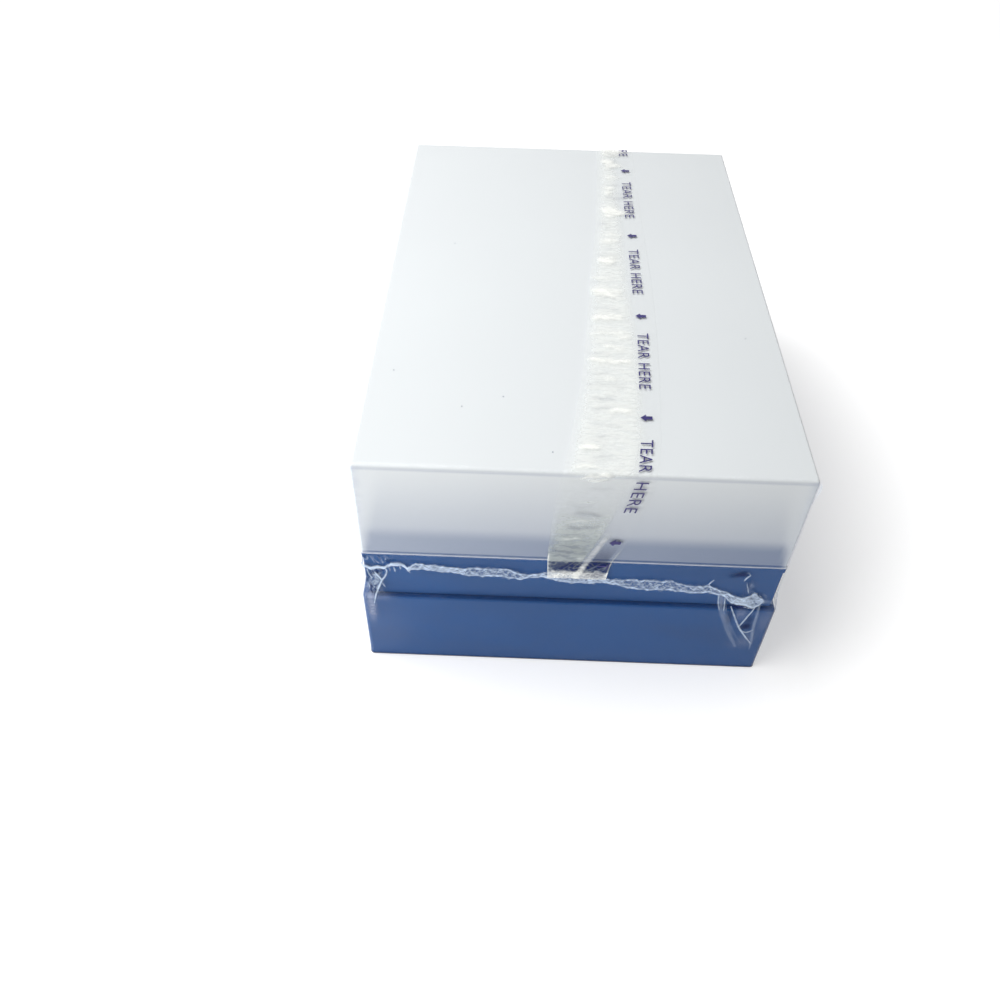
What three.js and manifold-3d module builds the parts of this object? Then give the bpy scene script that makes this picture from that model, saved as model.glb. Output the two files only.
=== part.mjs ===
// A sealed box of pipette tips: a blue base tray on the standard microplate footprint, a blue rack
// frame that drops into it, a deck plate with the tips hanging in it, a frosted lid, and the shrink
// film with its tear tape that closes the pack. Millimetres, +Z up, origin at the middle of the
// face the pack stands on. X runs across the short end, Y along the long side, and -Y is the front.

import * as THREE from 'three';
import { mergeVertices } from 'three/addons/utils/BufferGeometryUtils.js';
import Module from 'manifold-3d';

const wasm = await Module();
wasm.setup();

// ---- Driving dimensions ---------------------------------------------------------------------

// Standard microplate footprint, which the base tray fills.
const footprintX = 85.48;
const footprintY = 127.76;
const footprintCorner = 0.9;

// Pipette tips, in rows at the standard pitch. The whole height of the box follows from them.
const tipPitch = 9;
const tipLength = 50.5;
const hubHeight = 13;          // collar that stands above the deck plate
const hubRadius = 3.6;
const hubFootRadius = 3.4;
const shaftRadius = 2.7;         // just under the deck plate
const waistRadius = 1.7;         // where the slow taper turns into the fine one
const waistHeight = 17;          // above the tip's end
const endRadius = 0.6;
const boreRadius = 2.9;          // at the mouth
const endBoreRadius = 0.25;
const tipSides = 8;
const boreSides = 6;
const tipMargin = 2.5;           // least plate left outside the outermost collars
const tipFloorGap = 0.8;        // air between the tips' ends and the tray's floor
const headroom = 2.5;            // air between the collars and the lid's ceiling

// Base tray.
const trayWall = 1.5;
const trayFloor = 1.6;
const footDepth = 1;             // how far the floor is raised inside the foot rim
const footWidth = 2.6;
const footChamfer = 0.4;
const trayRimRound = 0.25;
const floorFillet = 1;
const trayRibWidth = 1.2;
const trayRibDepth = 1.3;
const trayRibPitch = 26;         // largest distance between the ribs that carry the rack frame

// Rack frame.
const ledge = 1;                 // the apron stands in from the tray's face by this much
const apronHeight = 12.7;
const frameWall = 1.5;
const skirtDepth = 5;            // locating wall that reaches down inside the tray
const rebateDepth = 0.7;         // shadow gap under the apron
const rebateHeight = 0.5;
const apronRoundHeight = 1.2;    // the apron turns in above the shadow gap
const flangeHeight = 1.3;
const flangeLip = 0.2;
const upstandHeight = 7.55;       // wall above the shoulder that locates the lid
const shelfWidth = 1.5;          // carries the deck plate's edge
const shelfThickness = 1.4;

// Deck plate.
const deckThickness = 1.6;
const deckRimWidth = 1.2;        // stiffening rim under the plate
const deckRimDepth = 2;
const deckRimInset = 1.4;        // leaves the plate's edge free for the shelf

// Lid.
const lidSetback = 0.12;         // the lid's rim stands in from the shoulder's edge
const lidWall = 1.4;
const lidTopThickness = 1.4;
const lidDraft = 0.02;           // how far each side leans in over the lid's height
const lidEdgeRound = 0.4;
const lidBeadHeight = 0.5;
const lidBeadStep = 0.12;

// Shrink film: an upper and a lower web, welded together along a seam round the sides.
const filmWall = 0.2;
const seamHeight = 29.1;
const seamSlope = 0.055;         // the seam falls by this much for each millimetre along +X
const seamBeadHeight = 0.8;      // of each web's half of the weld
const seamBeadStand = 0.25;
const filmFootRound = 0.5;
const filmBridge = 5.5;          // height over which the film spans the step above the tray

// Tear tape on the upper web. Its centre line drifts across the pack on the way to the front.
const tapeWidth = 15.6;
const tapeThickness = 0.2;
const tapeCentreX = 4.8;         // at the front top edge
const tapeLean = 0.13;           // sideways shift for each millimetre behind that edge
const tapeBend = 0.0007;         // the lean fades by this much for each millimetre, squared
const tapeEndGap = 0.6;          // left above the seam's bead
const tapeStep = 8;              // largest distance between sections on the straight run

// Clearances.
const seatGap = 0.1;             // between a moulding and the moulding that it stands on
const slideFit = 0.3;            // each side, skirt in tray, lid over upstand, plate in frame
const filmGap = 0.15;            // between the film and the box
const tapeGap = 0.15;            // between the tape and the film
const webGap = 0.3;              // between the two webs at the weld line

// Facets.
const cornerSteps = 4;           // on each rounded corner
const edgeSteps = 3;             // on each rounded edge
const leastCorner = 0.4;
const overshoot = 2;             // how far a cutting shape reaches past what it cuts

// ---- Levels and outlines that follow from them ------------------------------------------------

const footZ = filmWall + filmGap;
const trayFloorZ = footZ + footDepth + trayFloor;
const deckTopZ = trayFloorZ + tipFloorGap + tipLength - hubHeight;
const shoulderZ = deckTopZ - upstandHeight;
const lidFootZ = shoulderZ + seatGap;
const trayRimZ = shoulderZ - apronHeight - seatGap;
const ceilingZ = deckTopZ + hubHeight + headroom;
const lidTopZ = ceilingZ + lidTopThickness;
const packTopZ = lidTopZ + filmGap + filmWall;

// An outline is a rounded rectangle; inset() makes it smaller all round, or larger.
const trayOutline = { x: footprintX, y: footprintY, r: footprintCorner };
const inset = (outline, by) => ({
  x: outline.x - 2 * by,
  y: outline.y - 2 * by,
  r: Math.max(outline.r - by, leastCorner),
});
const trayInside = inset(trayOutline, trayWall);
const skirtOutline = inset(trayInside, slideFit);
const apronOutline = inset(trayOutline, ledge);
const flangeOutline = inset(apronOutline, -flangeLip);
const lidOutline = inset(flangeOutline, lidSetback);
const lidTopOutline = inset(lidOutline, lidDraft);
const upstandOutline = inset(lidOutline, lidWall + slideFit);
const upstandInside = inset(upstandOutline, frameWall);
const deckOutline = inset(upstandInside, slideFit);

// ---- Geometry helpers -----------------------------------------------------------------------------

// Closed loop of points round an outline at one height, anticlockwise from above.
function ring(outline, z) {
  const corners = [[1, 1], [-1, 1], [-1, -1], [1, -1]];
  return corners.flatMap(([sideX, sideY], quarter) =>
    Array.from({ length: cornerSteps + 1 }, (_, step) => {
      const angle = (quarter + step / cornerSteps) * Math.PI / 2;
      return new THREE.Vector3(
        sideX * (outline.x / 2 - outline.r) + outline.r * Math.cos(angle),
        sideY * (outline.y / 2 - outline.r) + outline.r * Math.sin(angle),
        z,
      );
    }));
}

// Closed skin over a stack of rings with equal point counts, with a fan at each end.
function loft(rings) {
  const count = rings[0].length;
  const middle = (points) => points
    .reduce((sum, point) => sum.add(point), new THREE.Vector3())
    .divideScalar(points.length);
  const points = [...rings.flat(), middle(rings[0]), middle(rings[rings.length - 1])];
  const lastRing = (rings.length - 1) * count;
  const firstMiddle = rings.length * count;
  const faces = [];
  for (let i = 0; i < count; i++) {
    const next = (i + 1) % count;
    for (let base = 0; base < lastRing; base += count) {
      faces.push(base + i, base + next, base + count + next);
      faces.push(base + i, base + count + next, base + count + i);
    }
    faces.push(firstMiddle, next, i);
    faces.push(firstMiddle + 1, lastRing + i, lastRing + next);
  }
  const geometry = new THREE.BufferGeometry().setFromPoints(points);
  geometry.setIndex(faces);
  return geometry;
}

// A solid for joining and cutting, from any closed geometry.
function solid(geometry) {
  const bare = geometry.clone();
  bare.deleteAttribute('normal');
  bare.deleteAttribute('uv');
  const merged = mergeVertices(bare);
  return new wasm.Manifold(new wasm.Mesh({
    numProp: 3,
    vertProperties: new Float32Array(merged.attributes.position.array),
    triVerts: new Uint32Array(merged.index.array),
  }));
}

// Moulding built up from [outline, z] levels.
const stack = (levels) => solid(loft(levels.map(([outline, z]) => ring(outline, z))));

const block = (x, y, z, centre) => solid(new THREE.BoxGeometry(x, y, z).translate(...centre));

// Levels of a rounded top edge: the outline turns in by radius while it rises by radius.
const roundedEdge = (outline, topZ, radius) =>
  Array.from({ length: edgeSteps + 1 }, (_, step) => {
    const angle = (step / edgeSteps) * Math.PI / 2;
    return [
      inset(outline, radius * (1 - Math.cos(angle))),
      topZ - radius * (1 - Math.sin(angle)),
    ];
  });

function mesh(name, body, material, z = 0) {
  const { vertProperties, triVerts } = body.getMesh();
  const geometry = new THREE.BufferGeometry();
  geometry.setAttribute('position', new THREE.BufferAttribute(vertProperties, 3));
  geometry.setIndex(new THREE.BufferAttribute(triVerts, 1));
  geometry.computeVertexNormals();
  const node = new THREE.Mesh(geometry, material);
  node.name = name;
  node.position.z = z;
  return node;
}

// Places of evenly spaced copies about zero, no further apart than the pitch.
function spread(length, pitch) {
  const count = Math.max(1, Math.ceil(length / pitch));
  return Array.from({ length: count }, (_, i) => ((i + 0.5) / count - 0.5) * length);
}

// Places of as many copies at the exact pitch as the length holds, centred on zero.
function pitched(length, pitch) {
  const count = Math.max(1, Math.floor(length / pitch) + 1);
  return Array.from({ length: count }, (_, i) => (i - (count - 1) / 2) * pitch);
}

// ---- Base tray: open tub with a raised floor, a foot rim and ribs inside its walls -------------

function baseTray() {
  const rimZ = trayRimZ - footZ;
  const floorZ = trayFloorZ - footZ;
  const tub = stack([
    [inset(trayOutline, footChamfer), 0],
    [trayOutline, footChamfer],
    ...roundedEdge(trayOutline, rimZ, trayRimRound),
  ]);
  const hollow = stack([
    [inset(trayInside, floorFillet), floorZ],
    [trayInside, floorZ + floorFillet],
    [trayInside, rimZ + overshoot],
  ]);
  const under = stack([
    [inset(trayOutline, footWidth), -overshoot],
    [inset(trayOutline, footWidth), footDepth],
  ]);
  let tray = tub.subtract(hollow).subtract(under);

  // The ribs stop under the rack frame's skirt, which stands on them.
  const ribTop = rimZ - skirtDepth - seatGap;
  const ribHeight = ribTop - footDepth - trayFloor / 2;
  const ribReach = trayRibDepth + trayWall / 2;
  const ribZ = ribTop - ribHeight / 2;
  for (const side of [-1, 1]) {
    const ribX = side * (trayInside.x / 2 - trayRibDepth + ribReach / 2);
    for (const y of spread(trayInside.y, trayRibPitch)) {
      tray = tray.add(block(ribReach, trayRibWidth, ribHeight, [ribX, y, ribZ]));
    }
    const ribY = side * (trayInside.y / 2 - trayRibDepth + ribReach / 2);
    for (const x of spread(trayInside.x, trayRibPitch)) {
      tray = tray.add(block(trayRibWidth, ribReach, ribHeight, [x, ribY, ribZ]));
    }
  }
  return tray;
}

// ---- Rack frame: apron, shoulder and upstand in one moulding, open through the middle ----------
// Its own zero is the foot of the apron, which stands on the tray's rim.

function rackFrame() {
  const rebated = inset(apronOutline, rebateDepth);
  const topZ = apronHeight + upstandHeight;
  const apronRound = Array.from({ length: edgeSteps + 1 }, (_, step) => {
    const angle = (step / edgeSteps) * Math.PI / 2;
    return [
      inset(apronOutline, rebateDepth * (1 - Math.sin(angle))),
      rebateHeight + apronRoundHeight * (1 - Math.cos(angle)),
    ];
  });
  const outside = stack([
    [skirtOutline, -skirtDepth],
    [skirtOutline, 0],
    [rebated, 0],
    ...apronRound,
    [apronOutline, apronHeight - flangeHeight],
    [flangeOutline, apronHeight - flangeHeight + flangeLip],
    [flangeOutline, apronHeight],
    [upstandOutline, apronHeight],
    ...roundedEdge(upstandOutline, topZ, trayRimRound),
  ]);

  const skirtInside = inset(skirtOutline, frameWall);
  const apronInside = inset(apronOutline, frameWall);
  const shelfInside = inset(upstandInside, shelfWidth);
  const shelfTop = topZ - deckThickness - seatGap;
  const shelfFoot = shelfTop - shelfThickness;
  const inside = stack([
    [skirtInside, -skirtDepth - overshoot],
    [skirtInside, 0],
    [apronInside, frameWall],
    [apronInside, apronHeight - frameWall],
    [upstandInside, apronHeight - frameWall],
    [upstandInside, shelfFoot - shelfWidth],
    [shelfInside, shelfFoot],
    [shelfInside, shelfTop],
    [upstandInside, shelfTop],
    [upstandInside, topZ + overshoot],
  ]);
  return outside.subtract(inside);
}

// ---- Deck plate with its tips, each a hollow taper that is open at both ends -------------------
// Its own zero is the top of the plate. The tips are one body with the plate that carries them.

function tipDeck() {
  const plate = stack([[deckOutline, -deckThickness], [deckOutline, 0]]);
  const rimFace = inset(deckOutline, deckRimInset + shelfWidth - slideFit);
  const rimZ = -deckThickness - deckRimDepth;
  const rim = stack([[rimFace, rimZ], [rimFace, -deckThickness / 2]]);
  const rimHollow = stack([
    [inset(rimFace, deckRimWidth), rimZ - overshoot],
    [inset(rimFace, deckRimWidth), -deckThickness],
  ]);
  let deck = plate.add(rim.subtract(rimHollow));

  const endZ = hubHeight - tipLength;
  const profile = (sides, points) => solid(new THREE.LatheGeometry(
    points.map(([radius, z]) => new THREE.Vector2(radius, z)),
    sides,
  ).rotateX(Math.PI / 2));
  const tip = profile(tipSides, [
    [0, endZ],
    [endRadius, endZ],
    [waistRadius, endZ + waistHeight],
    [shaftRadius, -deckThickness / 2],
    [hubFootRadius, -deckThickness / 2],
    [hubRadius, hubHeight],
    [0, hubHeight],
  ]);
  const boreSlope = (boreRadius - endBoreRadius) / tipLength;
  const bore = profile(boreSides, [
    [0, endZ - overshoot],
    [endBoreRadius - boreSlope * overshoot, endZ - overshoot],
    [boreRadius + boreSlope * overshoot, hubHeight + overshoot],
    [0, hubHeight + overshoot],
  ]);
  const clear = 2 * (hubRadius + tipMargin);
  for (const x of pitched(deckOutline.x - clear, tipPitch)) {
    for (const y of pitched(deckOutline.y - clear, tipPitch)) {
      deck = deck.add(tip.translate([x, y, 0])).subtract(bore.translate([x, y, 0]));
    }
  }
  return deck;
}

// ---- Lid: drafted shell with a bead round its rim. Its own zero is the rim's lower face --------

function lid() {
  const topZ = lidTopZ - lidFootZ;
  const bead = inset(lidOutline, -lidBeadStep);
  const outside = stack([
    [bead, 0],
    [bead, lidBeadHeight],
    [lidOutline, lidBeadHeight + lidBeadStep],
    ...roundedEdge(lidTopOutline, topZ, lidEdgeRound),
  ]);
  const hollow = stack([
    [inset(lidOutline, lidWall), -overshoot],
    [inset(lidOutline, lidWall), 0],
    ...roundedEdge(inset(lidTopOutline, lidWall), topZ - lidTopThickness, lidEdgeRound / 2),
  ]);
  return outside.subtract(hollow);
}

// ---- Shrink film: follows the tray, spans the step above it, then follows the frame and the lid --

// Levels of the film's face at a distance outside the box.
function filmLevels(stand) {
  const side = inset(trayOutline, -stand);
  const waist = inset(flangeOutline, -stand);
  const foot = footZ - stand;
  return [
    [inset(side, filmFootRound), foot],
    [side, foot + filmFootRound],
    [side, trayRimZ],
    [waist, trayRimZ + filmBridge],
    [waist, lidFootZ + lidBeadHeight],
    ...roundedEdge(inset(lidTopOutline, -stand), lidTopZ + stand, lidEdgeRound + stand),
  ];
}

// Everything above the seam's plane, which is tilted about Y, moved up by a distance.
function aboveSeam(rise) {
  const reach = 2 * (footprintX + footprintY + packTopZ);
  const halfSpace = new THREE.BoxGeometry(reach, reach, reach)
    .translate(0, 0, reach / 2)
    .rotateY(Math.atan(seamSlope))
    .translate(0, 0, seamHeight + rise);
  return solid(halfSpace);
}

function filmWebs() {
  const outerFace = stack(filmLevels(filmGap + filmWall));
  const innerFace = stack(filmLevels(filmGap));
  const beadFace = stack(filmLevels(filmGap + filmWall + seamBeadStand));
  const skin = outerFace.subtract(innerFace);
  const thick = beadFace.subtract(innerFace);
  const half = webGap / 2;
  const upperBead = thick.intersect(aboveSeam(half)).subtract(aboveSeam(half + seamBeadHeight));
  const lowerBead = thick.intersect(aboveSeam(-half - seamBeadHeight)).subtract(aboveSeam(-half));
  return {
    upper: skin.intersect(aboveSeam(half)).add(upperBead),
    lower: skin.subtract(aboveSeam(-half)).add(lowerBead),
  };
}

// ---- Tear tape: runs up the back, over the top and down the front of the upper web --------------

function tearTape() {
  const stand = filmGap + filmWall + tapeGap;
  const radius = lidEdgeRound + stand;
  const edgeY = lidTopOutline.y / 2 + stand - radius;
  const edgeZ = lidTopZ + stand - radius;
  const topRun = 2 * edgeY;
  const wallRun = edgeZ - seamHeight;
  const wallHeight = edgeZ - lidFootZ - lidBeadHeight;
  const wallLean = (flangeOutline.y - lidTopOutline.y) / 2 / wallHeight;
  const wallAngle = Math.atan(wallLean);
  const centreAt = (behind) => tapeCentreX + tapeLean * behind - tapeBend * behind ** 2;

  // A station is a place in the YZ plane and the outward direction there; side is +1 at the back.
  const onEdge = (side, angle) => ({
    y: side * (edgeY + radius * Math.cos(angle)),
    z: edgeZ + radius * Math.sin(angle),
    outY: side * Math.cos(angle),
    outZ: Math.sin(angle),
  });
  const edge = (side) => Array.from({ length: edgeSteps + 1 }, (_, step) =>
    onEdge(side, -wallAngle + (step / edgeSteps) * (Math.PI / 2 + wallAngle)));
  // The tape ends above the weld, whose highest point under it is at its left edge.
  const end = (side, behind) => {
    const weldZ = seamHeight - seamSlope * (centreAt(behind) - tapeWidth / 2);
    const start = onEdge(side, -wallAngle);
    const z = weldZ + webGap / 2 + seamBeadHeight + tapeEndGap;
    return { ...start, y: start.y + side * wallLean * (start.z - z), z };
  };
  const topSteps = Math.ceil(topRun / tapeStep);
  const top = Array.from({ length: topSteps - 1 }, (_, i) => ({
    y: edgeY - ((i + 1) / topSteps) * topRun,
    z: edgeZ + radius,
    outY: 0,
    outZ: 1,
  }));
  const stations = [
    end(1, topRun + wallRun), ...edge(1), ...top, ...edge(-1).reverse(), end(-1, -wallRun),
  ];

  // Distance of each station behind the foot of the front top edge, along the tape.
  const frontEdge = stations.length - 2;
  const reach = (a, b) => Math.hypot(a.y - b.y, a.z - b.z);
  const behind = stations.map((place, i) => (i > frontEdge ? -reach(place, stations[frontEdge])
    : stations.slice(i, frontEdge).reduce((sum, from, k) => sum + reach(from, stations[i + k + 1]), 0)));

  return solid(loft(stations.map(({ y, z, outY, outZ }, i) => {
    const centre = centreAt(behind[i]);
    const corner = (side, lift) =>
      new THREE.Vector3(centre + side * tapeWidth / 2, y + lift * outY, z + lift * outZ);
    return [
      corner(-1, 0), corner(1, 0), corner(1, tapeThickness), corner(-1, tapeThickness),
    ];
  })));
}

// ---- Materials ------------------------------------------------------------------------------------

const plastic = (color, roughness, opacity = 1) => new THREE.MeshStandardMaterial({
  color, roughness, metalness: 0, opacity, transparent: opacity < 1,
});
const bluePlastic = plastic(0x3f5f94, 0.45);
const tipPlastic = plastic(0xe6eaea, 0.4);
const frostedPlastic = plastic(0xe4eaee, 0.55, 0.8);
const clearFilm = plastic(0xf2f5f7, 0.15, 0.25);
const tapeFilm = plastic(0xeef0ec, 0.3, 0.7);

// ---- Scene --------------------------------------------------------------------------------------------

const webs = filmWebs();
const box = new THREE.Group();
box.add(
  mesh('base_tray', baseTray(), bluePlastic, footZ),
  mesh('rack_frame', rackFrame(), bluePlastic, trayRimZ + seatGap),
  mesh('tip_deck', tipDeck(), tipPlastic, deckTopZ),
  mesh('lid', lid(), frostedPlastic, lidFootZ),
);
const wrapping = new THREE.Group();
wrapping.add(
  mesh('film_lower', webs.lower, clearFilm),
  mesh('film_upper', webs.upper, clearFilm),
  mesh('tear_tape', tearTape(), tapeFilm),
);
const pack = new THREE.Group();
pack.add(box, wrapping);

export default pack;
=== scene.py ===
"""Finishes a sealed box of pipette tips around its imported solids.

The box stands on its base tray with +Z up and -Y to the front. Its mouldings are sections carried
round one rounded rectangle, the tips are turned profiles, and the shrink film, its weld, its folds
and the tear tape are surfaces worked out on the box's own girth and height. All sizes are metres.
"""

import math

import bmesh
import bpy
import numpy as np
from bpy.props import (
    FloatProperty, FloatVectorProperty, IntProperty, PointerProperty, StringProperty)
from mathutils import Matrix, Vector


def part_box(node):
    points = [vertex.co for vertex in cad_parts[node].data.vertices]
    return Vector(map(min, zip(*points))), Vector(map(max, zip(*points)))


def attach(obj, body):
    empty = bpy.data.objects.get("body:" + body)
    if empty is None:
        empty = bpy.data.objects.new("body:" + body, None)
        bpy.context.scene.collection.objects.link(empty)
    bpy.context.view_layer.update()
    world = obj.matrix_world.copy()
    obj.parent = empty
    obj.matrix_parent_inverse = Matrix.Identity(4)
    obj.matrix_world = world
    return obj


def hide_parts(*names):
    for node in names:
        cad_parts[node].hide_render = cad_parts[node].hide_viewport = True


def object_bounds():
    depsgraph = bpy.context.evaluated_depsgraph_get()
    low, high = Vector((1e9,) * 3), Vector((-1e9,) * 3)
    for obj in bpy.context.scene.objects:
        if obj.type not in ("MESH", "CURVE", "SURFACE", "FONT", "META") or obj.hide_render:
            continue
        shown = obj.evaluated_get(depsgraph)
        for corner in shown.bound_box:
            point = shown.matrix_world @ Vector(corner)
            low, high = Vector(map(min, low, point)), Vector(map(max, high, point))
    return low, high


bl_info = {
    "name": "Box of Pipette Tips",
    "version": (1, 0, 0),
    "blender": (4, 5, 0),
    "location": "View3D > Sidebar > Tip Box",
    "description": "Adds the mouldings, shrink film and tear tape of a box of pipette tips",
    "category": "Object",
}

BODY = "root"
MM = 0.001

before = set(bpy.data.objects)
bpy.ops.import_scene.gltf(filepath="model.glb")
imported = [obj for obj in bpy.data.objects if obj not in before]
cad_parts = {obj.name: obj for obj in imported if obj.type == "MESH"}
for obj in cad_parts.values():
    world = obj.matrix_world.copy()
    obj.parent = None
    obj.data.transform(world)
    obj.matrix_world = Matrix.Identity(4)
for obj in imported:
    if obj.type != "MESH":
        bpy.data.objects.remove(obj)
cad_low, cad_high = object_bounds()

# ---- Levels and insets taken from the frame ------------------------------------------------------
# An inset is a distance inside the tray's outline, the widest of the box.

tray_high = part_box("base_tray")[1]
rack_low, rack_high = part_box("rack_frame")
deck_low, deck_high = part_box("tip_deck")
lid_low, lid_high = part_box("lid")
HALF_X, HALF_Y = tray_high.x, tray_high.y
CORNER = 0.9 * MM                # the footprint's corners are nearly sharp
LEAST_CORNER = 0.4 * MM          # and further in they get no sharper than this
FILM_ROOM = 0.12 * MM            # under the foot, where the film passes
FOOT_Z, RIM_Z = cad_low.z + FILM_ROOM, tray_high.z
SKIRT_Z, DECK_Z = rack_low.z, rack_high.z
LID_FOOT_Z, LID_TOP_Z = lid_low.z, lid_high.z
SEAT_GAP = 0.1 * MM              # between mouldings that rest on each other
SHOULDER_Z = LID_FOOT_Z - SEAT_GAP
FLANGE_INSET = HALF_X - rack_high.x
BEAD_INSET = HALF_X - lid_high.x
DECK_INSET = HALF_X - deck_high.x


# ---- Points on the girth -------------------------------------------------------------------------


def perimeter(places):
    """Turns distances round the tray's outline into (across, along, angle).

    The outline is an inner rectangle with a corner radius added along the normal. across and
    along are the place on that rectangle from -1 to 1, and angle is the normal's. Distance 0 is
    the middle of the front, and it grows towards +X. All three run in straight lines between the
    corners' ends.
    """
    flat_x, flat_y = HALF_X - CORNER, HALF_Y - CORNER
    turn = CORNER * math.pi / 2
    legs = [0, flat_x, turn, 2 * flat_y, turn, 2 * flat_x, turn, 2 * flat_y, turn, flat_x]
    knots = np.cumsum(legs)
    wrapped = np.mod(places, knots[-1])
    across = np.interp(wrapped, knots, [0, 1, 1, 1, 1, -1, -1, -1, -1, 0])
    along = np.interp(wrapped, knots, [-1, -1, -1, 1, 1, 1, 1, -1, -1, -1])
    quarter = np.interp(wrapped, knots, [-1, -1, 0, 0, 1, 1, 2, 2, 3, 3])
    return across, along, quarter * math.pi / 2


GIRTH = 4 * (HALF_X + HALF_Y - 2 * CORNER) + 2 * math.pi * CORNER


def outward(places, inset, height):
    """Points at an inset and a height: the inner rectangle shrinks with the inset and the corner
    radius is what is left of it, so the surface is an offset of the tray's outline."""
    across, along, angle = perimeter(places)
    radius = np.maximum(CORNER - inset, LEAST_CORNER)
    x = across * (HALF_X - inset - radius) + radius * np.cos(angle)
    y = along * (HALF_Y - inset - radius) + radius * np.sin(angle)
    return np.stack(np.broadcast_arrays(x, y, height), axis=-1)


def rings(places, insets, heights):
    """One ring of points for each inset and height."""
    return outward(places, insets[:, None], heights[:, None])


def girth_places(step, corner_steps):
    """Distances round the outline: even on each straight side, and even on each corner's arc."""
    flat_x, flat_y = 2 * (HALF_X - CORNER), 2 * (HALF_Y - CORNER)
    turn = CORNER * math.pi / 2
    start, runs = -flat_x / 2, []
    for flat in (flat_x, flat_y, flat_x, flat_y):
        sides = max(1, math.ceil(flat / step))
        runs.append(start + flat * np.arange(sides) / sides)
        runs.append(start + flat + turn * np.arange(corner_steps) / corner_steps)
        start += flat + turn
    return np.concatenate(runs)


def signed_girth(places):
    """Distance round the girth from the middle of the front, up to half the girth either way."""
    return (places + GIRTH / 2) % GIRTH - GIRTH / 2


def girth_of(across):
    """Distance round the girth of a place on the front, corners included."""
    flat = HALF_X - CORNER
    past = np.clip((np.abs(across) - flat) / CORNER, 0, 1)
    return np.sign(across) * (np.minimum(np.abs(across), flat) + CORNER * np.arcsin(past))


def corner_distance(places):
    """Distance along the girth to the middle of the nearest corner."""
    turn = CORNER * math.pi / 2
    first = HALF_X - CORNER + turn / 2
    second = first + 2 * (HALF_Y - CORNER) + turn
    middles = np.array([first, second, GIRTH - second, GIRTH - first])
    away = np.abs(np.asarray(places)[..., None] - middles)
    return np.minimum(away, GIRTH - away).min(axis=-1)


# ---- Sections, waves and chance fields -----------------------------------------------------------

FILLET_SHARE = 0.49              # the most of its shorter leg that a bend's round takes up
LATTICE = 128                    # values each way in a chance field's table, which then repeats
THINNING = 1.3                   # power that thins a chance field's creases


def filleted(corners, radii, steps=5):
    """Path through corners, with each inner bend rounded to its own one of the radii.

    The arc touches both legs. Its centre lies on the bend's bisector, and its points are the two
    radius vectors blended by sines of the angle between them.
    """
    corners = np.asarray(corners, float)
    path = [corners[0]]
    for before, bend, after, radius in zip(corners, corners[1:], corners[2:], radii):
        first, second = before - bend, after - bend
        reach = min(np.linalg.norm(first), np.linalg.norm(second))
        first, second = first / np.linalg.norm(first), second / np.linalg.norm(second)
        opening = math.acos(np.clip(first @ second, -1, 1))
        radius = min(radius, FILLET_SHARE * reach * math.tan(opening / 2))
        bisector = (first + second) / np.linalg.norm(first + second)
        centre = bend + bisector * radius / math.sin(opening / 2)
        touch = radius / math.tan(opening / 2)
        start, end = bend + first * touch - centre, bend + second * touch - centre
        swept = math.pi - opening
        share = np.linspace(0, 1, steps + 1)[:, None]
        path.extend(centre + (np.sin((1 - share) * swept) * start + np.sin(share * swept) * end)
                    / math.sin(swept))
    path.append(corners[-1])
    return np.array(path)


def turned(profile, sides, ribs, rib_height, rib_rows):
    """Surface of revolution about Z from (radius, height) points. Between the two heights of
    rib_rows the radius also swells by the ribs' height times the cosine of ribs times the angle,
    where that is positive."""
    angle = np.arange(sides) * 2 * math.pi / sides
    low, high = rib_rows
    ribbed = (profile[:, 1:] > low) & (profile[:, 1:] < high)
    radius = profile[:, :1] + ribbed * rib_height * np.maximum(np.cos(ribs * angle), 0)
    height = profile[:, 1:] + np.zeros(sides)
    return np.stack([radius * np.cos(angle), radius * np.sin(angle), height], axis=-1)


def smooth_step(value, low, high):
    """0 below low, 1 above high, and a cubic ease between them."""
    share = np.clip((value - low) / (high - low), 0, 1)
    return share * share * (3 - 2 * share)


def bell(value, middle, width):
    """1 at the middle, falling to a third at the width on either side: e to the minus square."""
    return np.exp(-((value - middle) / width) ** 2)


def ripples(places, waves, seed):
    """Mean of sine waves over a place, each of about the given number of turns round the girth. The
    exact numbers and the starts come from a fixed seed, and whole turns close the sum on itself."""
    draw = np.random.default_rng(seed)
    total = np.zeros_like(places)
    for turns in waves:
        count = turns + draw.integers(-2, 3)
        start = draw.uniform(0, 2 * math.pi)
        total += np.sin(places / GIRTH * 2 * math.pi * count + start) / len(waves)
    return total


def lattice_noise(first, second, seed):
    """Smooth chance field between -1 and 1 over two coordinates: values drawn on the points of a
    square lattice of side 1, eased between neighbours."""
    table = np.random.default_rng(seed).uniform(-1, 1, (LATTICE, LATTICE))
    first, second = np.broadcast_arrays(first, second)
    row, column = np.floor(first).astype(int), np.floor(second).astype(int)
    s, t = smooth_step(first - row, 0, 1), smooth_step(second - column, 0, 1)
    row, next_row = row % LATTICE, (row + 1) % LATTICE
    column, next_column = column % LATTICE, (column + 1) % LATTICE
    near = table[row, column] * (1 - t) + table[row, next_column] * t
    far = table[next_row, column] * (1 - t) + table[next_row, next_column] * t
    return near * (1 - s) + far * s


def creased(first, second, seed, sharp):
    """Thin lines, from 0 to 1, where a chance field passes through 0: 1 less sharp times the
    field's size, to a power that thins them."""
    return np.clip(1 - sharp * np.abs(lattice_noise(first, second, seed)), 0, 1) ** THINNING


# ---- Meshes --------------------------------------------------------------------------------------


# Degrees between two faces from which their edge is shaded sharp.
MOULDED_ANGLE, SHEET_ANGLE, FOLD_ANGLE = 35, 60, 80


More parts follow.
